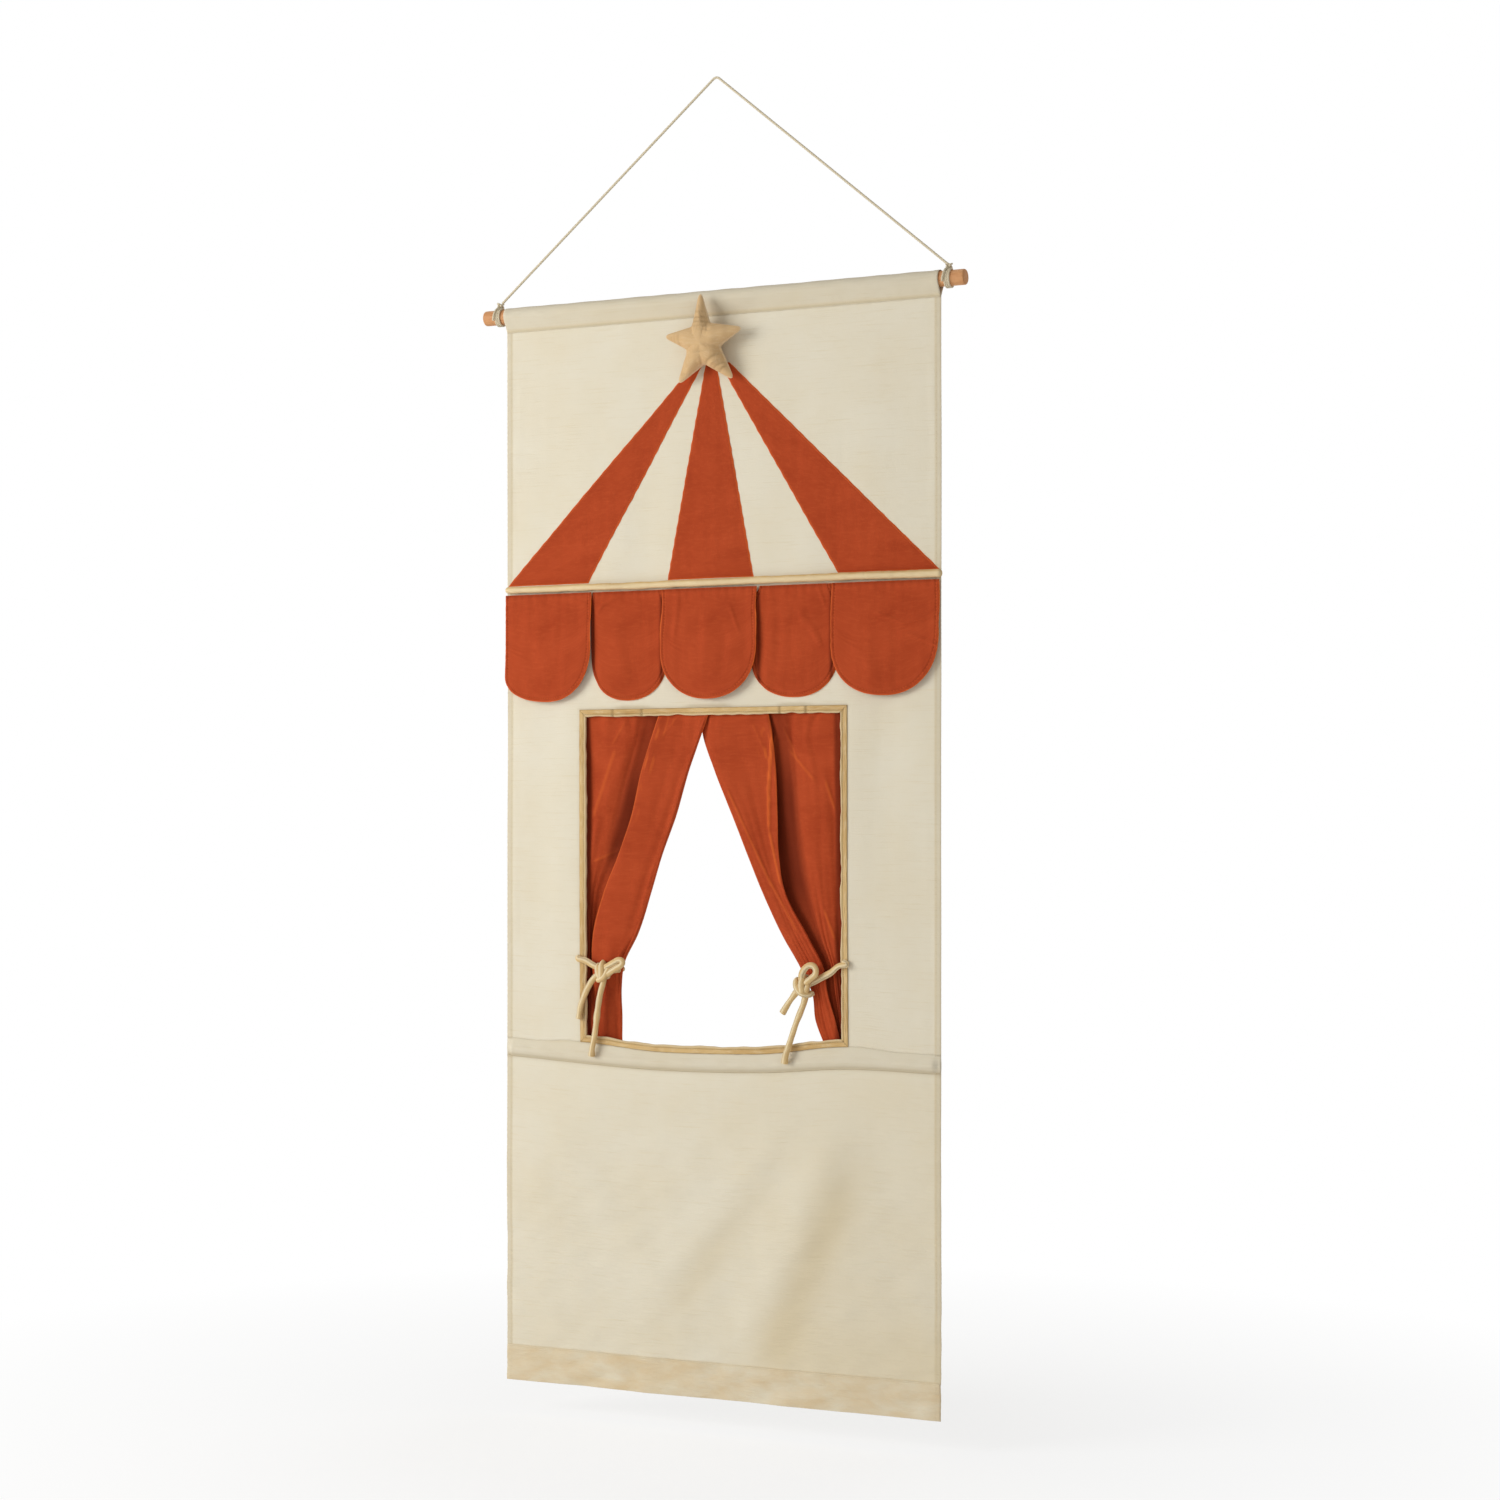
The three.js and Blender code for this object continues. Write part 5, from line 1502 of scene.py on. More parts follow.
def build_flaps():
    """Five lined velvet flaps: straight sides and a rounded end, a little fuller than half an ellipse. Each
    keeps its upper edge under the piping. The front three stand a little off the two behind them."""
    power = FLAP_SQUARENESS
    for number in range(1, 6):
        node = f"scallop_flap_{number}"
        hinge = joints[f"flap_{number}_lift"]["pos_m"]
        behind = number % 2 == 0
        half = half_of(node, X)
        centre = middle(node, X)
        length = FLAP_TOP - low(node, Z)
        left_round, right_round, left_spread, right_spread = FLAP_SHAPES[number]
        s = np.sin(np.linspace(-np.pi / 2, np.pi / 2, 121))
        rows = 1 - (1 - np.linspace(0, 1, 130)) ** 1.25
        u, v = np.meshgrid(s, rows, indexing="ij")
        rounding = np.where(u < 0, left_round, right_round) * MM
        spread = np.where(u < 0, left_spread, right_spread) * MM
        reach = half + spread * smooth(v, 0, 0.2)
        straight_part = length - rounding
        x = u * reach
        z = -(straight_part + rounding * np.maximum(1 - np.abs(u) ** power, 0) ** (1 / power)) * v
        below = np.maximum(-z - straight_part, 0)
        across, down = np.abs(x) / reach, below / rounding
        ratio = np.maximum((across**power + down**power) ** (1 / power), 1e-6)
        away = (1 - ratio) * ratio / np.maximum(np.hypot(across / reach, down / rounding), 1e-6)
        around = np.minimum(-z, straight_part) + 70 * MM * np.arctan2(down, across)
        seed = 80 + number
        x = x + 1.2 * MM * ripples(v, 0, 0.9, 70 + number) * u
        thick = 1.35 * MM * np.sqrt(share(away, 0, 2.2 * MM)) + 0.1 * MM
        stitched = hill(away - FLAP_STITCH_INSET, 1.2 * MM)
        marks = stitched * (0.5 + 0.5 * np.sin(2 * np.pi * around / FLAP_STITCH_PITCH))
        thick = thick - 0.6 * MM * stitched - 0.3 * MM * marks
        left, right = FLAP_CURLS[number]
        curl = (left + (right - left) * (u + 1) / 2) * MM * smooth(v, 0.02, 0.9)
        sway = 1.1 * MM * ripples(x, z, 0.13, seed) * smooth(v, 0.15, 0.9) * (1 - 0.6 * u**2)
        sway = sway + 0.4 * MM * ripples(x, 0.35 * z, 0.03, seed + 9) * smooth(v, 0.03, 0.3)
        sway = sway + 1.3 * sum(ridge(x, z, fold, 12 * MM) for fold in FLAP_FOLDS[number])
        gathered = 0.35 * MM * np.sin(2 * np.pi * x / 0.013 + seed) * hill(v, 0.09)
        pucker = 0.4 * MM * ripples(x, z, 0.011, seed + 3) * hill(away - 3 * MM, 3 * MM)
        base = relief(x + centre, FLAP_TOP) * (1 - 0.25 * v)
        free = hinge[Y] - np.maximum(sway + curl + gathered, -0.2 * MM) + pucker - base
        canvas = -relief(x + centre, z + FLAP_TOP) - thick - 0.9 * MM
        hanging = smooth(v, 0.06, 0.25)
        if behind:
            held = smooth(np.abs(x), half - 16 * MM, half - 5 * MM) * hanging
            middle_y = np.minimum(free * (1 - held) + canvas * held, canvas * hanging + free * (1 - hanging))
        else:
            beside = np.where(u < 0, number > 1, number < 5) * smooth(np.abs(u), 0.55, 0.8) * hanging
            over = canvas - FLAP_STAND_OFF * beside
            middle_y = np.minimum(free, over * hanging + free * (1 - hanging))
        front = grid(x + centre, middle_y - thick, z + FLAP_TOP)
        back = grid(x + centre, middle_y + thick, z + FLAP_TOP)
        # Painted highlights along the turned rim and on the stitch puckers
        edge = hill(away, 1.1 * MM) + 0.4 * marks
        # Painted shade between the stitch puckers and along the upper edge under the piping
        shade = 0.28 * stitched * (1 - marks) + 0.5 * hill(v, 0.025)
        if behind:
            # Painted shadows of the front flaps beside the edges of the flaps behind them
            shade = shade + 0.85 * hill(np.abs(x) - half + 0.5 * MM, 3.2 * MM) * smooth(v, 0, 0.1)
        patches = shell(front, back, s * half, -rows * length, edge, shade)
        obj = make(f"{node}_velvet", patches, "rust", sharp=1.2)
        start, end = ((centre, hinge[Y], FLAP_TOP - depth) for depth in FLAP_BEND)
        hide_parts(node)
        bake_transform(obj)
        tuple(start)
        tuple(end)
        rounded = (left_round + right_round) / 2 * MM
        area = 2 * half * (length - rounded) + 0.8 * 2 * half * rounded


# The window


# How far out from the opening the binding's stitches lie in their groove, over its width
BINDING_GROOVE = 0.375
# How far the binding's front stands forward
BINDING_FRONT = 2.6 * MM

# Along the top strip: places where its lower edge is drawn up, and its tucks
BINDING_DRAWN = (-0.060, 0.123)
BINDING_TUCKS = (-0.168, -0.120, 0.103, 0.145)


def binding_outline():
    """Section of the folded velvet round the opening's edge, in Y and Z with the opening below: a
    rounded strip with a sewn groove, doubled round the canvas."""
    width = BINDING_WIDTH
    half = 2.45 * MM
    slot = 0.95 * MM
    front = np.array([
        (-slot, 2.4 * MM), (-slot, width * 0.6), (-slot - 0.1 * MM, width),
        (-slot - 0.9 * MM, width + 0.25 * MM), (-half + 0.35 * MM, width - 0.5 * MM),
        (-half + 0.05 * MM, width - 1.6 * MM), (-half, width * 0.68), (-half + 0.25 * MM, width * 0.46),
        (-half + 0.8 * MM, width * BINDING_GROOVE), (-half + 0.15 * MM, width * 0.3),
        (-half - 0.1 * MM, width * 0.16), (-half + 0.35 * MM, 0.7 * MM), (-1.2 * MM, 0.12 * MM),
    ])
    back = (front * (-1, 1))[::-1]
    return np.concatenate([front, [(0, -0.05 * MM)], back])


def build_binding():
    """Four velvet strips folded round the window's edge and mitred at its corners: a section
    carried along each side, longer the further it lies from the opening."""
    outline = closed(binding_outline())
    travelled = lengths(outline)
    places = np.linspace(0, travelled[-1], 57)
    section = read_along(outline, travelled, places[:-1])
    section = (section + np.roll(section, 1, 0) + np.roll(section, -1, 0)) / 3
    half_z = (WINDOW_TOP - WINDOW_BOTTOM) / 2
    centre = np.array([WINDOW_MIDDLE, 0, (WINDOW_TOP + WINDOW_BOTTOM) / 2])
    groove = BINDING_WIDTH * BINDING_GROOVE
    sides = [
        ("top", WINDOW_HALF, half_z, (1, 0), (0, 1), 91),
        ("right", half_z, WINDOW_HALF, (0, -1), (1, 0), 92),
        ("bottom", WINDOW_HALF, half_z, (-1, 0), (0, -1), 93),
        ("left", half_z, WINDOW_HALF, (0, 1), (-1, 0), 94),
    ]
    rows = []
    for side, half, reach, way, out, seed in sides:
        node = f"window_binding_{side}"
        drawn, tucked = (BINDING_DRAWN, BINDING_TUCKS) if side == "top" else ((), ())

        def hung(along, y, outwards):
            """Points of this side's strip, from how far they lie along it and outwards."""
            x, z = (along * way[k] + (reach + outwards) * out[k] for k in (0, 1))
            return hang(grid(x, y, z) + centre)

        count = round(2 * half / (2.2 * MM))
        t = np.linspace(-1, 1, count)[:, None]
        offset = np.broadcast_to(section[:, 1], (count, len(section)))
        along = t * (half + offset - 0.12 * MM)
        from_middle = along + WINDOW_MIDDLE
        wave = 0.55 * MM * ripples(along, 0, 0.06, seed) + 0.3 * MM * ripples(along, 0, 0.02, seed + 7)
        wave = wave + sum(1.6 * MM * hill(from_middle - place, 9 * MM) for place in drawn)
        wave = wave * smooth(1 - np.abs(t), 0, 0.05)
        inner = 1 - smooth(offset, 0, 0.6 * BINDING_WIDTH)
        swell = 1 + 0.12 * ripples(along, offset * 20, 0.03, seed + 3)
        pinched = sum((hill(from_middle - place, 2 * MM) for place in tucked), np.zeros_like(along))
        points = hung(along, section[:, 0] * swell * (1 - 0.3 * pinched), offset + wave * inner)
        # Painted highlight along the turned inner lip
        lip = 0.75 * hill(offset - 0.1 * BINDING_WIDTH, 1.6 * MM)
        mitre = hill(half + offset - np.abs(along), 0.8 * MM)
        # Painted shade in the stitch groove, along the outer edge and in the tucks, with a dark line at the
        # mitres and a slightly darker strip between the opening and the groove
        shade = 0.45 * hill(offset - groove, 0.7 * MM) + 0.6 * hill(offset - BINDING_WIDTH, 0.8 * MM)
        shade = shade + 0.7 * mitre + 0.7 * pinched + 0.16 * (offset < groove)
        patches = [Patch(points, t[:, 0] * half, places, wrap=(False, True), edge=lip, shade=shade)]
        for rim in (points[0], points[-1]):
            cap = np.stack([rim, np.broadcast_to(rim.mean(0), rim.shape)])
            patches.append(Patch(cap, [0, MM], places, wrap=(False, True)))
        obj = make(f"{node}_velvet", patches, "sand", sharp=1.1)
        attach(obj, "banner")
        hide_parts(node)
        rows.append(hung(np.linspace(-1, 1, 120) * (half + groove - MM), -1.85 * MM, groove))
    thread = stitches("binding_stitches", rows, "sand_thread", 2.8 * MM, 0.45 * MM)
    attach(thread, "banner")


# The curtains, in millimetres: at each depth, x and y of ten lines of the cloth from the outer
# edge to the inner one. The fifth and sixth lines are the back of the main pleat, and the seventh
# is its front edge.

CURTAIN_DEPTHS = np.array([604, 640, 690, 760, 815, 870, 930, 975, 1010, 1050, 1088])

LEFT_X = [
    (-217.5, -197, -165, -136, -112, -84, -91, -60, -24, -9),
    (-220, -195, -160, -138, -121, -92, -104, -68, -35, -24),
    (-222, -203, -172, -154, -138, -108, -122, -84, -55, -45),
    (-223.5, -214, -196, -176, -158, -126, -140, -106, -79, -68.5),
    (-223.5, -217, -206, -191, -175, -147, -161, -126, -100, -90.5),
    (-223.5, -218, -212, -206, -196, -170, -186, -145, -119, -109),
    (-223.5, -218, -213, -211, -206, -192, -204, -167, -141, -132),
    (-223, -218, -213, -211, -206, -192, -207, -178, -164, -157),
    (-222, -217, -212, -208, -202, -192, -203, -180, -166, -160),
    (-221, -215, -209, -203, -196, -190, -199, -180, -167, -158.5),
    (-221, -213, -205, -198, -192, -187, -195, -178, -167, -159),
]
LEFT_Y = [
    (4.4, 4.2, 4, 4.4, 7, 9, 4.2, 3.8, 3.6, 3.4),
    (6, 5, 4, 6.5, 11, 12, 3, 4.2, 3.8, 3.6),
    (9, 7, 4, 7.5, 13, 13, 2.8, 4.2, 4.6, 5),
    (12, 9, 4.5, 8, 13, 14, 2.8, 4.4, 5.4, 6.5),
    (14, 10, 5, 8.5, 13, 14, 3, 4.2, 5.6, 7),
    (16, 11, 6, 9.5, 14, 15, 3.6, 3.8, 5, 7.5),
    (17, 12, 7, 10, 14, 15, 4.2, 3.6, 4.6, 9),
    (16, 12, 8, 12, 15, 15, 4.4, 3.6, 5, 12),
    (13, 10, 7.5, 11, 14, 15, 5, 4.6, 6, 9),
    (11, 8, 6.5, 9, 13, 14, 6, 5.5, 7, 8),
    (10, 7.5, 6, 8, 12, 13, 6.5, 6.5, 8, 8),
]
RIGHT_X = [
    (206, 190, 160, 128, 100, 66, 80, 46, 0, -28),
    (206, 192, 150, 124, 106, 74, 88, 50, -4, -26),
    (206, 192, 158, 130, 112, 79, 94, 60, 13, -6),
    (206, 190, 166, 136, 117, 82, 97, 72, 46, 25),
    (207, 190, 168, 142, 122, 84, 99, 84, 67, 48),
    (208, 192, 172, 152, 134, 96, 110, 100, 90, 72),
    (208, 195, 179, 166, 158, 128, 145, 132, 118, 102),
    (207, 198, 188, 182, 177, 154, 169, 157, 144, 129.5),
    (206, 199, 192, 187, 182, 162, 175, 167, 159, 149),
    (206, 200, 196, 193, 190, 174, 187, 178, 167, 155),
    (206, 203, 201, 199, 197, 184, 196, 189, 180, 170),
]
RIGHT_Y = [
    (4.4, 4.2, 4, 4.4, 6, 8, 4, 4.4, 6.6, 9.5),
    (6, 5, 3.8, 6, 9, 10, 3, 4.8, 7.5, 11.5),
    (7, 6, 3.8, 6.5, 11, 12, 2.8, 5, 5.4, 8.5),
    (9, 7, 4, 6.5, 12, 13, 2.8, 5.4, 3.8, 7),
    (10, 7, 4.2, 8, 15, 15, 3, 5.4, 3.8, 8),
    (11, 8, 4.4, 8, 15, 15, 3.2, 5.2, 3.8, 9),
    (12, 8, 4.6, 8, 14, 16, 3.4, 5, 4, 11),
    (12, 8, 5.4, 8, 13, 16, 3.8, 4.6, 5, 13),
    (11, 8.5, 6.5, 9, 13, 15, 4.4, 5, 6, 9),
    (10, 8.5, 7, 9, 12, 14, 5, 6, 6.5, 8),
    (9, 8, 7, 8, 11, 13, 6, 7, 7, 8),
]

CURTAIN_CREASES = {
    # start x, z, end x, z, half width, height
    "left_curtain": [
        (-0.167, -0.966, -0.205, -1.064, 5 * MM, 1.1 * MM),
        (-0.205, -1.130, -0.165, -1.112, 3 * MM, 1.2 * MM),
        (-0.150, -0.925, -0.172, -0.958, 3 * MM, 1.0 * MM),
        (-0.060, -0.915, -0.092, -0.950, 2.5 * MM, 0.8 * MM),
    ],
    "right_curtain": [
        (0.057, -0.930, 0.084, -0.986, 2.5 * MM, 0.9 * MM),
        (0.089, -0.950, 0.083, -1.024, 3 * MM, 2.0 * MM),
        (0.083, -1.024, 0.083, -1.078, 3 * MM, 1.9 * MM),
        (0.084, -1.086, 0.102, -1.160, 2.6 * MM, 1.7 * MM),
        (0.114, -0.969, 0.157, -1.012, 3 * MM, 1.2 * MM),
        (0.104, -0.935, 0.125, -0.975, 2.5 * MM, 1.0 * MM),
        (0.173, -1.012, 0.187, -1.055, 2.5 * MM, 1.3 * MM),
        (0.018, -1.025, 0.086, -1.159, 2.6 * MM, 1.2 * MM),
        (0.086, -1.159, 0.128, -1.227, 2.6 * MM, 1.2 * MM),
        (0.171, -1.196, 0.187, -1.238, 2.5 * MM, 1.3 * MM),
    ],
}


# The share of the way down a curtain at which each row of its points lies
DOWN = np.linspace(0, 1, 200)
# Where the tie gathers a curtain, as a share of the way down
WAIST = 0.783
# The lines of the tables where the main pleat turns forward and where the inner hem is sewn
PLEAT_EDGE, INNER_HEM = 6, 8


def build_curtains():
    """Two velvet curtains: smooth curves down the lines of the tables and across them, with finer creases
    that run along the folds and gather at the tie. Painted shade darkens them inside the pleat, where the
    window's side covers them and below the left curtain's tie; painted highlights lie along their edges, the
    pleat's front, the crushed velvet near its top and the pressed creases."""
    tables = (
        # side, tables, seed, how much its inner hem shows and how much painted shade lies below its tie,
        # where its pleat opens and its painted shade fades, and the jamb, beside which a painted shadow lies
        ("left", LEFT_X, LEFT_Y, 101, 0.5, 0.8 * smooth(DOWN, 0.40, 0.54), -209 * MM),
        ("right", RIGHT_X, RIGHT_Y, 102, 0.0, 0.45 * smooth(DOWN, 0.50, 0.65), 187 * MM),
    )
    depth = CURTAIN_DEPTHS[0] + (CURTAIN_DEPTHS[-1] - CURTAIN_DEPTHS[0]) * DOWN
    height = (depth[-1] - depth[0]) * MM
    lines = np.arange(10.0)
    fine = np.linspace(0, 9, 160)
    s, t = np.meshgrid(fine, (depth - depth[0]) / (depth[-1] - depth[0]), indexing="ij")
    # Weights of the painted shade inside the pleat, across the lines of the tables
    in_pleat = np.interp(fine, lines, (0, 0, 0, 0, 0.9, 1, 0, 0, 0, 0))[:, None]
    for side, table_x, table_y, seed, stitched, faded, jamb in tables:
        node = f"{side}_curtain"
        x, y = (
            hermite(hermite(np.array(table, float), CURTAIN_DEPTHS, depth).T, lines, fine) * MM
            for table in (table_x, table_y)
        )
        z = np.broadcast_to(at(depth)[None], x.shape)
        waist = hill(t - WAIST, 0.16)
        head = hill(t, 0.06)
        along_folds = ripples(s, 0.9 * t, 1.1, seed) * 0.8 * MM
        creases = ripples(s, 1.5 * t, 0.5, seed + 11) * (0.35 + 0.6 * waist + 0.6 * head) * MM
        drags = 0.5 * MM * ripples(s + 3 * t, 0.6 * t, 0.8, seed + 13) * smooth(5.2 - s, 0, 1)
        pressed = sum(ridge(x, z, crease, 10 * MM) for crease in CURTAIN_CREASES[node])
        y = y + (along_folds + creases + drags - pressed) * smooth(t, 0, 0.04)
        hem_line = hill(s - INNER_HEM, 0.1) * stitched
        puckers = 0.3 * MM * np.sin(260 * t) * hill(s - INNER_HEM - 0.5, 0.35) * stitched
        y = y + 0.35 * MM * hem_line + puckers
        y = np.maximum(y, 3.3 * MM * smooth(np.abs(x), 200 * MM, 204 * MM))
        y = y - relief(x, CURTAIN_HEAD) * (1 - t) ** 0.5
        z = z + 1.1 * MM * ripples(s, 0, 4.0, seed + 4) * smooth(t, 0.85, 1)
        points = grid(x, y, z)
        # Painted highlights along the inner edge, the top edge, the pleat's front edge and the hem's stitches
        edge = 0.85 * hill(9 - s, 0.07) + 0.7 * hill((1 - t) * height, 1.6 * MM)
        edge = edge + 0.55 * hill(s - PLEAT_EDGE, 0.09)
        edge = edge + 0.35 * hem_line * (0.5 + 0.5 * np.sin(420 * t))
        # Painted highlights on crushed velvet near the top of the pleat
        crushed = np.clip(ripples(4 * s, 12 * t, 0.9, seed + 17) - 0.35, 0, 1)
        edge = edge + 0.5 * crushed * hill(s - 6.2, 0.5) * (1 - smooth(t, 0.1, 0.5))
        # Painted highlights on the pressed creases
        edge = edge + 0.55 * np.clip(pressed / (1.4 * MM), 0, 1) ** 2
        # Painted shade inside the pleat, fading where it opens
        folded = in_pleat * (0.65 + 0.35 * smooth(t, 0.1, 0.3)) * (1 - faded)
        blur = 3 * MM / abs(jamb)
        # Painted shadow beside the window's side
        shade = folded + 0.8 * smooth(x / jamb, 1 - blur, 1 + blur) * (1 - folded)
        # Painted shade below the left curtain's tie
        shade = shade + stitched * 0.5 * smooth(t, 0.8, 0.88)
        patch = Patch(points, fine * 34 * MM, depth * MM, edge=edge, shade=shade)
        obj = make(f"{node}_velvet", patch, "rust", sizes().velvet_thickness)
        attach(obj, f"curtain_{side}")
        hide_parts(node)


# The curtain ties: outwards to the near side of the window, +Y and up from the knot's middle, in
# millimetres

LEFT_TIE = {
    "strap": [(0, 0, 0), (11, -0.5, 6), (18, -1.6, 9.5)],
    "loop": [
        (0, -2, 3), (-7, -6.2, 7.4), (-14, -7.0, 11.0), (-22, -7.2, 15.0), (-29, -7.2, 18.2),
        (-33.5, -7.2, 17.4), (-35.0, -7.2, 14), (-32.5, -7.2, 10.4), (-25, -7.2, 6.2),
        (-16, -7.2, 1.0), (-8, -6.4, -3.4), (0, -2, -3),
    ],
    "outer_tail": [
        (0, -1, -1), (9, -3.5, -5), (16.5, -4.2, -12), (25.5, -4, -25), (33, -3.6, -40),
        (38, -3.4, -54), (40.5, -3.2, -70),
    ],
    "inner_tail": [
        (-1, 0, -3), (-1, -3, -13), (3.5, -4, -30), (8, -4.6, -55), (11, -5, -80),
        (14, -5.4, -100), (15.5, -7.8, -112), (16.5, -8.2, -124),
    ],
}
RIGHT_TIE = {
    "strap": [(0, 0, 0), (14, 2.4, 6), (28, 2.2, 13), (42, 0.4, 20)],
    "loop": [
        (0, 0, 3), (-1, -4.5, 9), (0.5, -7.2, 17), (5.5, -7.5, 25.5), (12, -7.5, 30), (19, -7.5, 29),
        (22.5, -7.5, 23.5), (21.5, -7.5, 17.5), (15.5, -7.5, 12), (9, -7.2, 7), (0, 0, 0),
    ],
    "inner_tail": [(0, 0, -1), (-8, -3.5, -7), (-15, -4.5, -15.5), (-23, -4.2, -26), (-31.5, -4, -39)],
    "outer_tail": [
        (0, 0, -3), (2, 1.5, -12), (0.5, 0.8, -22), (-4, -1.6, -36), (-10, -3.6, -52),
        (-16, -4.6, -70), (-22, -5.4, -88), (-25, -7.8, -99), (-26.5, -8.2, -110),
    ],
}
TIE_STEP = 1.2 * MM
# Between the binding's front and the strap over it
STRAP_GAP = 0.6 * MM


def velvet_tube(path, facing, width, height, seed, cap, flare=0.0):
    """A soft tie: an oval tube with a seam down one side, pinched and swollen along its length,
    and spread a little where it ends."""
    travelled = lengths(path)
    total = travelled[-1]
    angle = angles(26)[None]
    swell = 1 + 0.07 * ripples(travelled, 0, 0.022, seed)
    swell = swell + flare * smooth(travelled, total - 9 * MM, total)
    seam = 0.2 * hill(angle - 1.25 * np.pi, 0.2) + 0.06 * hill(angle - 1.6 * np.pi, 0.3)
    fold = 0.05 * np.sin(2 * angle + 9 * travelled[:, None] / total + seed)
    scale = swell[:, None] * (1 - seam + fold)
    section = ring(angle, width / 2 * scale, height / 2 * scale)
    patch = tube_patch(sweep(path, section, facing, cap))
    # Painted highlight along one side of the tube and beside its seam
    light = 0.8 * hill(np.sin(angle + 0.8) + 1, 0.4) + 0.6 * hill(angle - 1.4 * np.pi, 0.3)
    # Painted shade in the seam's groove and along the other side
    groove = 0.55 * hill(angle - 1.25 * np.pi, 0.22) + 0.4 * hill(np.sin(angle) - 1, 0.5)
    patch.edge = np.broadcast_to(light, patch.edge.shape)
    patch.shade = np.broadcast_to(groove, patch.edge.shape)
    return patch


KNOT_TURNS = (
    # outwards, +Y and up from the knot's middle, in millimetres
    [(3, 6, 12), (1.5, -1, 13), (0.5, -7, 8.5), (0, -9.2, 0), (0.5, -8, -8), (1.5, -2, -13), (3, 5, -12)],
    [
        (-9, 6, 8), (-10.5, -1, 8.5), (-9.5, -6.4, 3), (-5.5, -8.4, -5), (2, -7.4, -11), (9, -2, -12),
        (11, 4, -10),
    ],
    [(9, 4, 9), (9.5, -2, 8), (8, -5.6, 1), (5, -4.6, -8), (3, 2, -12)],
)


def build_ties():
    """The two curtain ties: strap, wrap, knot, loop and tails, each its own soft tube."""
    diameter = sizes().tie_diameter
    for side, out, tie in (("left", -1, LEFT_TIE), ("right", 1, RIGHT_TIE)):
        prefix, body = f"{side}_tie", f"curtain_{side}"
        knot = np.array([middle(f"{prefix}_knot", X), KNOT_Y, middle(f"{prefix}_knot", Z)])

        def placed(points):
            """Points of the tables as places, mirrored for the left tie."""
            return np.array(points, float) * (out, 1, 1) * MM + knot

        def tie_piece(name, path, facing, seed, cap=2.5 * MM, flare=0.0):
            """A tube of this tie that takes the place of the node of the same name."""
            patch = velvet_tube(path, facing, diameter, 0.86 * diameter, seed, cap, flare)
            obj = make(f"{prefix}_{name}_velvet", patch, "sand")
            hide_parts(f"{prefix}_{name}")
            return obj

        seam = np.array(tie_seam(side, out))
        strap_path = np.concatenate([placed(tie["strap"]), strap_over_binding(out, seam)])
        strap = tie_piece("strap", route(strap_path, TIE_STEP), Y_AXIS, 111 + out)
        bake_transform(strap)

        wrap_path = wrap_route(side, out, knot)
        wrap = tie_piece("wrap", route(wrap_path, TIE_STEP), Z_AXIS, 115 + out)
        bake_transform(wrap)

        loop = tie_piece("loop", route(placed(tie["loop"]), TIE_STEP), Y_AXIS, 121 + out)
        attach(loop, body)

        turns = [
            velvet_tube(route(placed(points), MM), Y_AXIS, diameter * 1.02, diameter * 0.8, seed, 3 * MM)
            for seed, points in enumerate(KNOT_TURNS, 141)
        ]
        core_path = route([knot + (0, 2 * MM, -8 * MM), knot + (0, MM, 0), knot + (0, 2 * MM, 8 * MM)], MM)
        turns.append(velvet_tube(core_path, Y_AXIS, 17 * MM, 11 * MM, 3, 4 * MM))
        ball = make(f"{prefix}_knot_velvet", turns, "sand")
        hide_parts(f"{prefix}_knot")
        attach(ball, body)

        for name in (key for key in tie if key.endswith("_tail")):
            path = route(placed(tie[name]), TIE_STEP)
            tail = tie_piece(name, path, Y_AXIS, 136 + out, MM, 0.12)
            if (side, name) == ("right", "inner_tail"):
                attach(tail, body)
                continue
            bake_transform(tail)
            float(lengths(path)[-1])


def tie_seam(side, out):
    """Where the strap is sewn to the canvas, near the outer end of its node."""
    node = f"{side}_tie_strap"
    if out < 0:
        return (low(node, X) + 7 * MM, -5.4 * MM, high(node, Z) + 4.5 * MM)
    return (high(node, X) - 14 * MM, -5.4 * MM, high(node, Z) - 1.5 * MM)


def strap_over_binding(out, seam):
    """The last points of a strap: over the binding's inner and outer edge, and to its seam."""
    inner = WINDOW_LEFT if out < 0 else WINDOW_RIGHT
    front = -BINDING_FRONT - STRAP_GAP - sizes().tie_diameter / 2
    over_inner = (inner, front, seam[Z] - 4.5 * MM)
    over_outer = (inner + out * BINDING_WIDTH, front, seam[Z] - 2.2 * MM)
    return np.array([over_inner, over_outer, tuple(seam)])


def wrap_route(side, out, knot):
    """The wrap's path: from the knot close round the gathered curtain to its seam behind the
    binding."""
    node = f"{side}_tie_wrap"
    radius = sizes().tie_diameter / 2
    tighter = 17 * MM if out < 0 else 9 * MM
    inner = (high(node, X) if out < 0 else low(node, X)) + out * (radius + tighter)
    outer = (low(node, X) if out < 0 else high(node, X)) - out * radius
    back = high(node, Y) - radius - 7.5 * MM
    front = low(node, Y) + radius
    top = high(node, Z) - radius
    rise = top - knot[Z]
    return np.array([
        (knot[X], front, knot[Z]),
        (inner + out * 5 * MM, front + 3 * MM, knot[Z] + 0.1 * rise),
        (inner, (front + back) / 2, knot[Z] + 0.2 * rise),
        (inner + out * 4 * MM, back - MM, knot[Z] + 0.3 * rise),
        ((inner + outer) / 2, back, knot[Z] + 0.6 * rise),
        (outer - out * 4 * MM, back - MM, top - 0.1 * rise),
        (outer, (front + back) / 2 + 2 * MM, top),
        (outer, 3.4 * MM + radius * 0.2, top),
    ])


# The stage


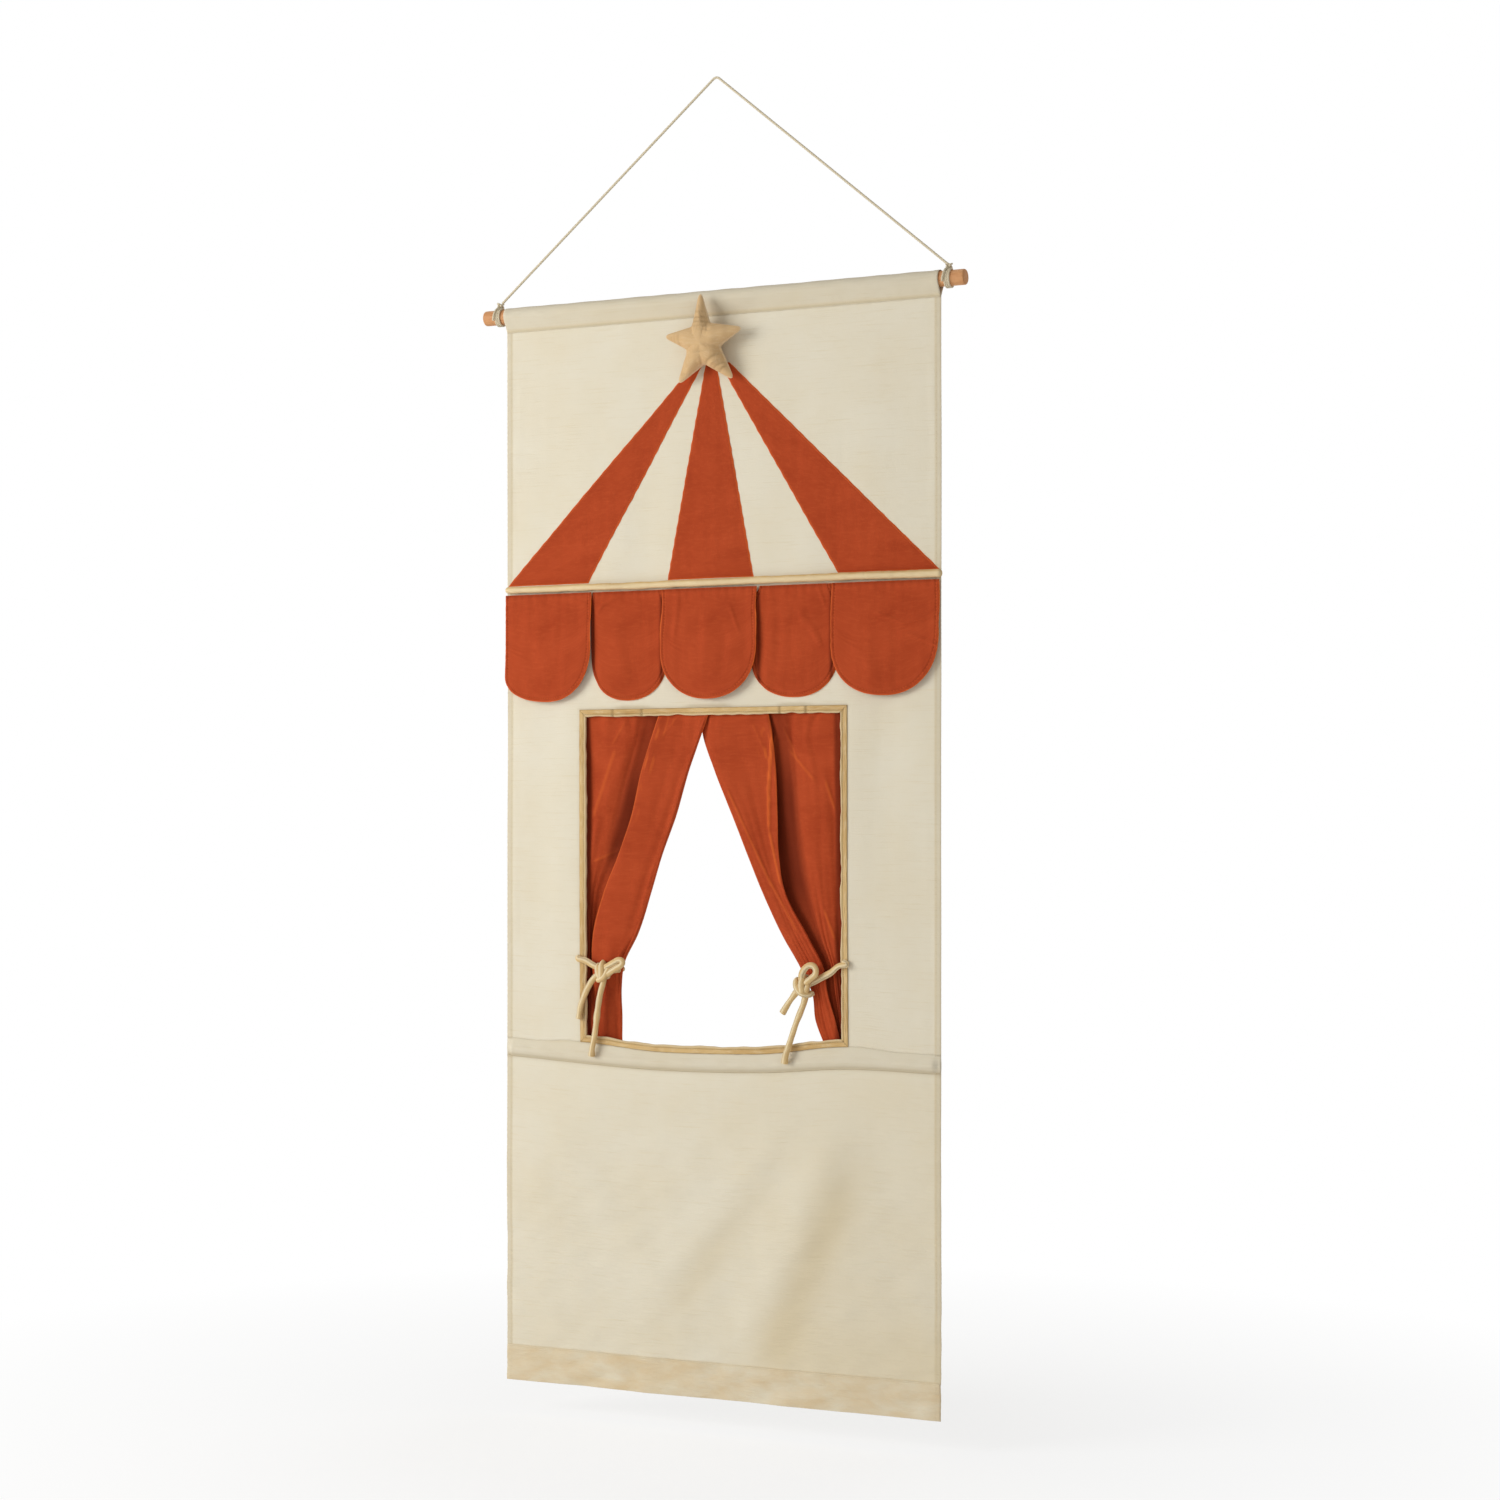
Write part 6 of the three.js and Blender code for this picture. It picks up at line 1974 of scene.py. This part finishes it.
# Where the camera stands, how it is turned, its lens in millimetres, and how far the picture is
# shifted, over its width
CAMERA_PLACE = (1.9066, -3.7482, -1.0642)
CAMERA_TURN = math.radians(26.3)
CAMERA_LENS = 70
CAMERA_SHIFT = 67 / 1500

FLOOR_HALF = 30
LIT_PLACE = np.array([0, 0, -1.1])
LAMPS = (
    # name, place, width, power, colour
    ("key_lamp", (-2.3, -2.4, -0.2), 1.9, 68, (1, 0.985, 0.95)),
    ("fill_lamp", (2.6, -2.6, -0.9), 2.2, 8, (1, 0.98, 0.95)),
    ("back_lamp", (0.6, 3.0, 0.4), 2.4, 20, (1, 1, 1)),
)


def build_stage():
    """A pale floor, a white surround, three soft lamps and the camera."""
    scene = bpy.context.scene
    scene.view_settings.view_transform = "Standard"
    camera_data = bpy.data.cameras.new("camera")
    camera_data.lens = CAMERA_LENS
    camera_data.sensor_width = 36
    camera_data.shift_y = CAMERA_SHIFT
    scene.camera = add_object("camera", camera_data, CAMERA_PLACE)
    scene.camera.rotation_euler = (math.pi / 2, 0, CAMERA_TURN)

    floor_mesh = bpy.data.meshes.new("floor")
    corners = [(x * FLOOR_HALF, y * FLOOR_HALF, 0) for x, y in ((-1, -1), (1, -1), (1, 1), (-1, 1))]
    floor_mesh.from_pydata(corners, [], [(0, 1, 2, 3)])
    floor_mesh.materials.append(floor_material())
    add_object("floor", floor_mesh, (0, 0, BOTTOM - sizes().floor_gap))

    scene.world = bpy.data.worlds.new("surround")
    sky = Tree(scene.world)
    lit = sky.node("ShaderNodeBackground", None, {"Color": (1, 0.985, 0.94, 1), "Strength": 0.4})
    white = sky.node("ShaderNodeBackground", None, {"Color": (1, 1, 1, 1), "Strength": 1})
    mixed = sky.node("ShaderNodeMixShader", None, {0: sky.seen_directly(), 1: lit, 2: white})
    sky.node("ShaderNodeOutputWorld", None, {"Surface": mixed}, None)

    for name, place, width, power, colour in LAMPS:
        data = bpy.data.lights.new(name, "AREA")
        data.size = width
        data.energy = power
        data.color = colour
        add_object(name, data, place).rotation_euler = aim_at(LIT_PLACE - place)


def aim_at(direction):
    """Turns for a lamp, which shines along its -Z, to shine along a direction."""
    flat = math.hypot(direction[0], direction[1])
    return (math.atan2(flat, -direction[2]), 0, math.atan2(-direction[0], direction[1]))


def floor_material():
    """Plain pale floor that shows white and keeps half of the shadow on it."""
    tree = Tree(bpy.data.materials.new("pale_floor"))
    shade = tree.node("ShaderNodeBsdfDiffuse", None, {"Color": opaque(colours().floor)})
    glow = tree.node("ShaderNodeEmission", None, {"Color": (1, 1, 1, 1), "Strength": 1})
    place = tree.node("ShaderNodeVectorMath", {"operation": "LENGTH"}, {0: tree.body()}, 1)
    far = tree.levels(place, 0.4, 1.6)
    share_of_glow = tree.seen_directly() * (0.74 + 0.26 * far)
    mixed = tree.node("ShaderNodeMixShader", None, {0: share_of_glow, 1: shade, 2: glow})
    tree.node("ShaderNodeOutputMaterial", None, {"Surface": mixed}, None)
    return tree.owner


# Operators


class THEATRE_OT_stage(Operator):
    """Adds the floor, surround, lamps and camera"""

    bl_idname = "theatre.stage"
    bl_label = "Stage"

    def execute(self, context):
        build_stage()
        return {"FINISHED"}


class THEATRE_OT_cord(Operator):
    """Adds the cord that the theatre hangs on"""

    bl_idname = "theatre.cord"
    bl_label = "Hanging Cord"

    def execute(self, context):
        build_cord()
        return {"FINISHED"}


class THEATRE_OT_cord_turns(Operator):
    """Adds the cord's turns and knots on the dowel"""

    bl_idname = "theatre.cord_turns"
    bl_label = "Cord Turns"

    def execute(self, context):
        build_cord_turns()
        return {"FINISHED"}


class THEATRE_OT_dowel(Operator):
    """Adds the beech dowel"""

    bl_idname = "theatre.dowel"
    bl_label = "Dowel"

    def execute(self, context):
        build_dowel()
        return {"FINISHED"}


class THEATRE_OT_sleeve(Operator):
    """Adds the canvas sleeve round the dowel"""

    bl_idname = "theatre.sleeve"
    bl_label = "Rod Sleeve"

    def execute(self, context):
        build_sleeve()
        return {"FINISHED"}


class THEATRE_OT_upper_canvas(Operator):
    """Adds the upper panel with its window"""

    bl_idname = "theatre.upper_canvas"
    bl_label = "Upper Canvas"

    def execute(self, context):
        build_upper_canvas()
        return {"FINISHED"}


class THEATRE_OT_wedges(Operator):
    """Adds the velvet wedges of the roof"""

    bl_idname = "theatre.wedges"
    bl_label = "Roof Wedges"

    def execute(self, context):
        build_wedges()
        return {"FINISHED"}


class THEATRE_OT_piping(Operator):
    """Adds the stuffed roll at the foot of the roof"""

    bl_idname = "theatre.piping"
    bl_label = "Roof Piping"

    def execute(self, context):
        build_piping()
        return {"FINISHED"}


class THEATRE_OT_star(Operator):
    """Adds the stuffed star"""

    bl_idname = "theatre.star"
    bl_label = "Star"

    def execute(self, context):
        build_star()
        return {"FINISHED"}


class THEATRE_OT_flaps(Operator):
    """Adds the lined flaps under the roof"""

    bl_idname = "theatre.flaps"
    bl_label = "Scallop Flaps"

    def execute(self, context):
        build_flaps()
        return {"FINISHED"}


class THEATRE_OT_binding(Operator):
    """Adds the velvet binding round the window"""

    bl_idname = "theatre.binding"
    bl_label = "Window Binding"

    def execute(self, context):
        build_binding()
        return {"FINISHED"}


class THEATRE_OT_sill(Operator):
    """Adds the sill rod and its pocket"""

    bl_idname = "theatre.sill"
    bl_label = "Sill"

    def execute(self, context):
        build_sill()
        return {"FINISHED"}


class THEATRE_OT_curtains(Operator):
    """Adds the two curtains"""

    bl_idname = "theatre.curtains"
    bl_label = "Curtains"

    def execute(self, context):
        build_curtains()
        return {"FINISHED"}


class THEATRE_OT_ties(Operator):
    """Adds the knotted curtain ties"""

    bl_idname = "theatre.ties"
    bl_label = "Curtain Ties"

    def execute(self, context):
        build_ties()
        return {"FINISHED"}


class THEATRE_OT_skirt(Operator):
    """Adds the lower panel"""

    bl_idname = "theatre.skirt"
    bl_label = "Skirt"

    def execute(self, context):
        build_skirt()
        return {"FINISHED"}


class THEATRE_OT_bottom_hem(Operator):
    """Adds the deep hem"""

    bl_idname = "theatre.bottom_hem"
    bl_label = "Bottom Hem"

    def execute(self, context):
        build_bottom_hem()
        return {"FINISHED"}


OPERATORS = [
    THEATRE_OT_stage,
    THEATRE_OT_cord,
    THEATRE_OT_cord_turns,
    THEATRE_OT_dowel,
    THEATRE_OT_sleeve,
    THEATRE_OT_upper_canvas,
    THEATRE_OT_wedges,
    THEATRE_OT_piping,
    THEATRE_OT_star,
    THEATRE_OT_flaps,
    THEATRE_OT_binding,
    THEATRE_OT_sill,
    THEATRE_OT_curtains,
    THEATRE_OT_ties,
    THEATRE_OT_skirt,
    THEATRE_OT_bottom_hem,
]


class THEATRE_PT_pieces(Panel):
    """Lists the pieces of the theatre"""

    bl_label = "Puppet Theatre"
    bl_idname = "THEATRE_PT_pieces"
    bl_space_type = "VIEW_3D"
    bl_region_type = "UI"
    bl_category = "Theatre"

    def draw(self, context):
        for operator in OPERATORS:
            self.layout.operator(operator.bl_idname)


CLASSES = [TheatreColours, TheatreSizes, *OPERATORS, THEATRE_PT_pieces]


def register():
    """Adds the classes and the scene's two groups of values."""
    for cls in CLASSES:
        bpy.utils.register_class(cls)
    bpy.types.Scene.theatre_colours = PointerProperty(type=TheatreColours)
    bpy.types.Scene.theatre_sizes = PointerProperty(type=TheatreSizes)


def unregister():
    """Takes out what register() added."""
    del bpy.types.Scene.theatre_sizes
    del bpy.types.Scene.theatre_colours
    for cls in reversed(CLASSES):
        bpy.utils.unregister_class(cls)


def main():
    """Builds everything."""
    register()
    bpy.ops.theatre.stage()
    bpy.ops.theatre.cord()
    bpy.ops.theatre.ties()
    bpy.ops.theatre.cord_turns()
    bpy.ops.theatre.dowel()
    bpy.ops.theatre.sleeve()
    bpy.ops.theatre.upper_canvas()
    bpy.ops.theatre.wedges()
    bpy.ops.theatre.piping()
    bpy.ops.theatre.star()
    bpy.ops.theatre.flaps()
    bpy.ops.theatre.binding()
    bpy.ops.theatre.sill()
    bpy.ops.theatre.curtains()
    bpy.ops.theatre.skirt()
    bpy.ops.theatre.bottom_hem()


if __name__ == "__main__":
    main()
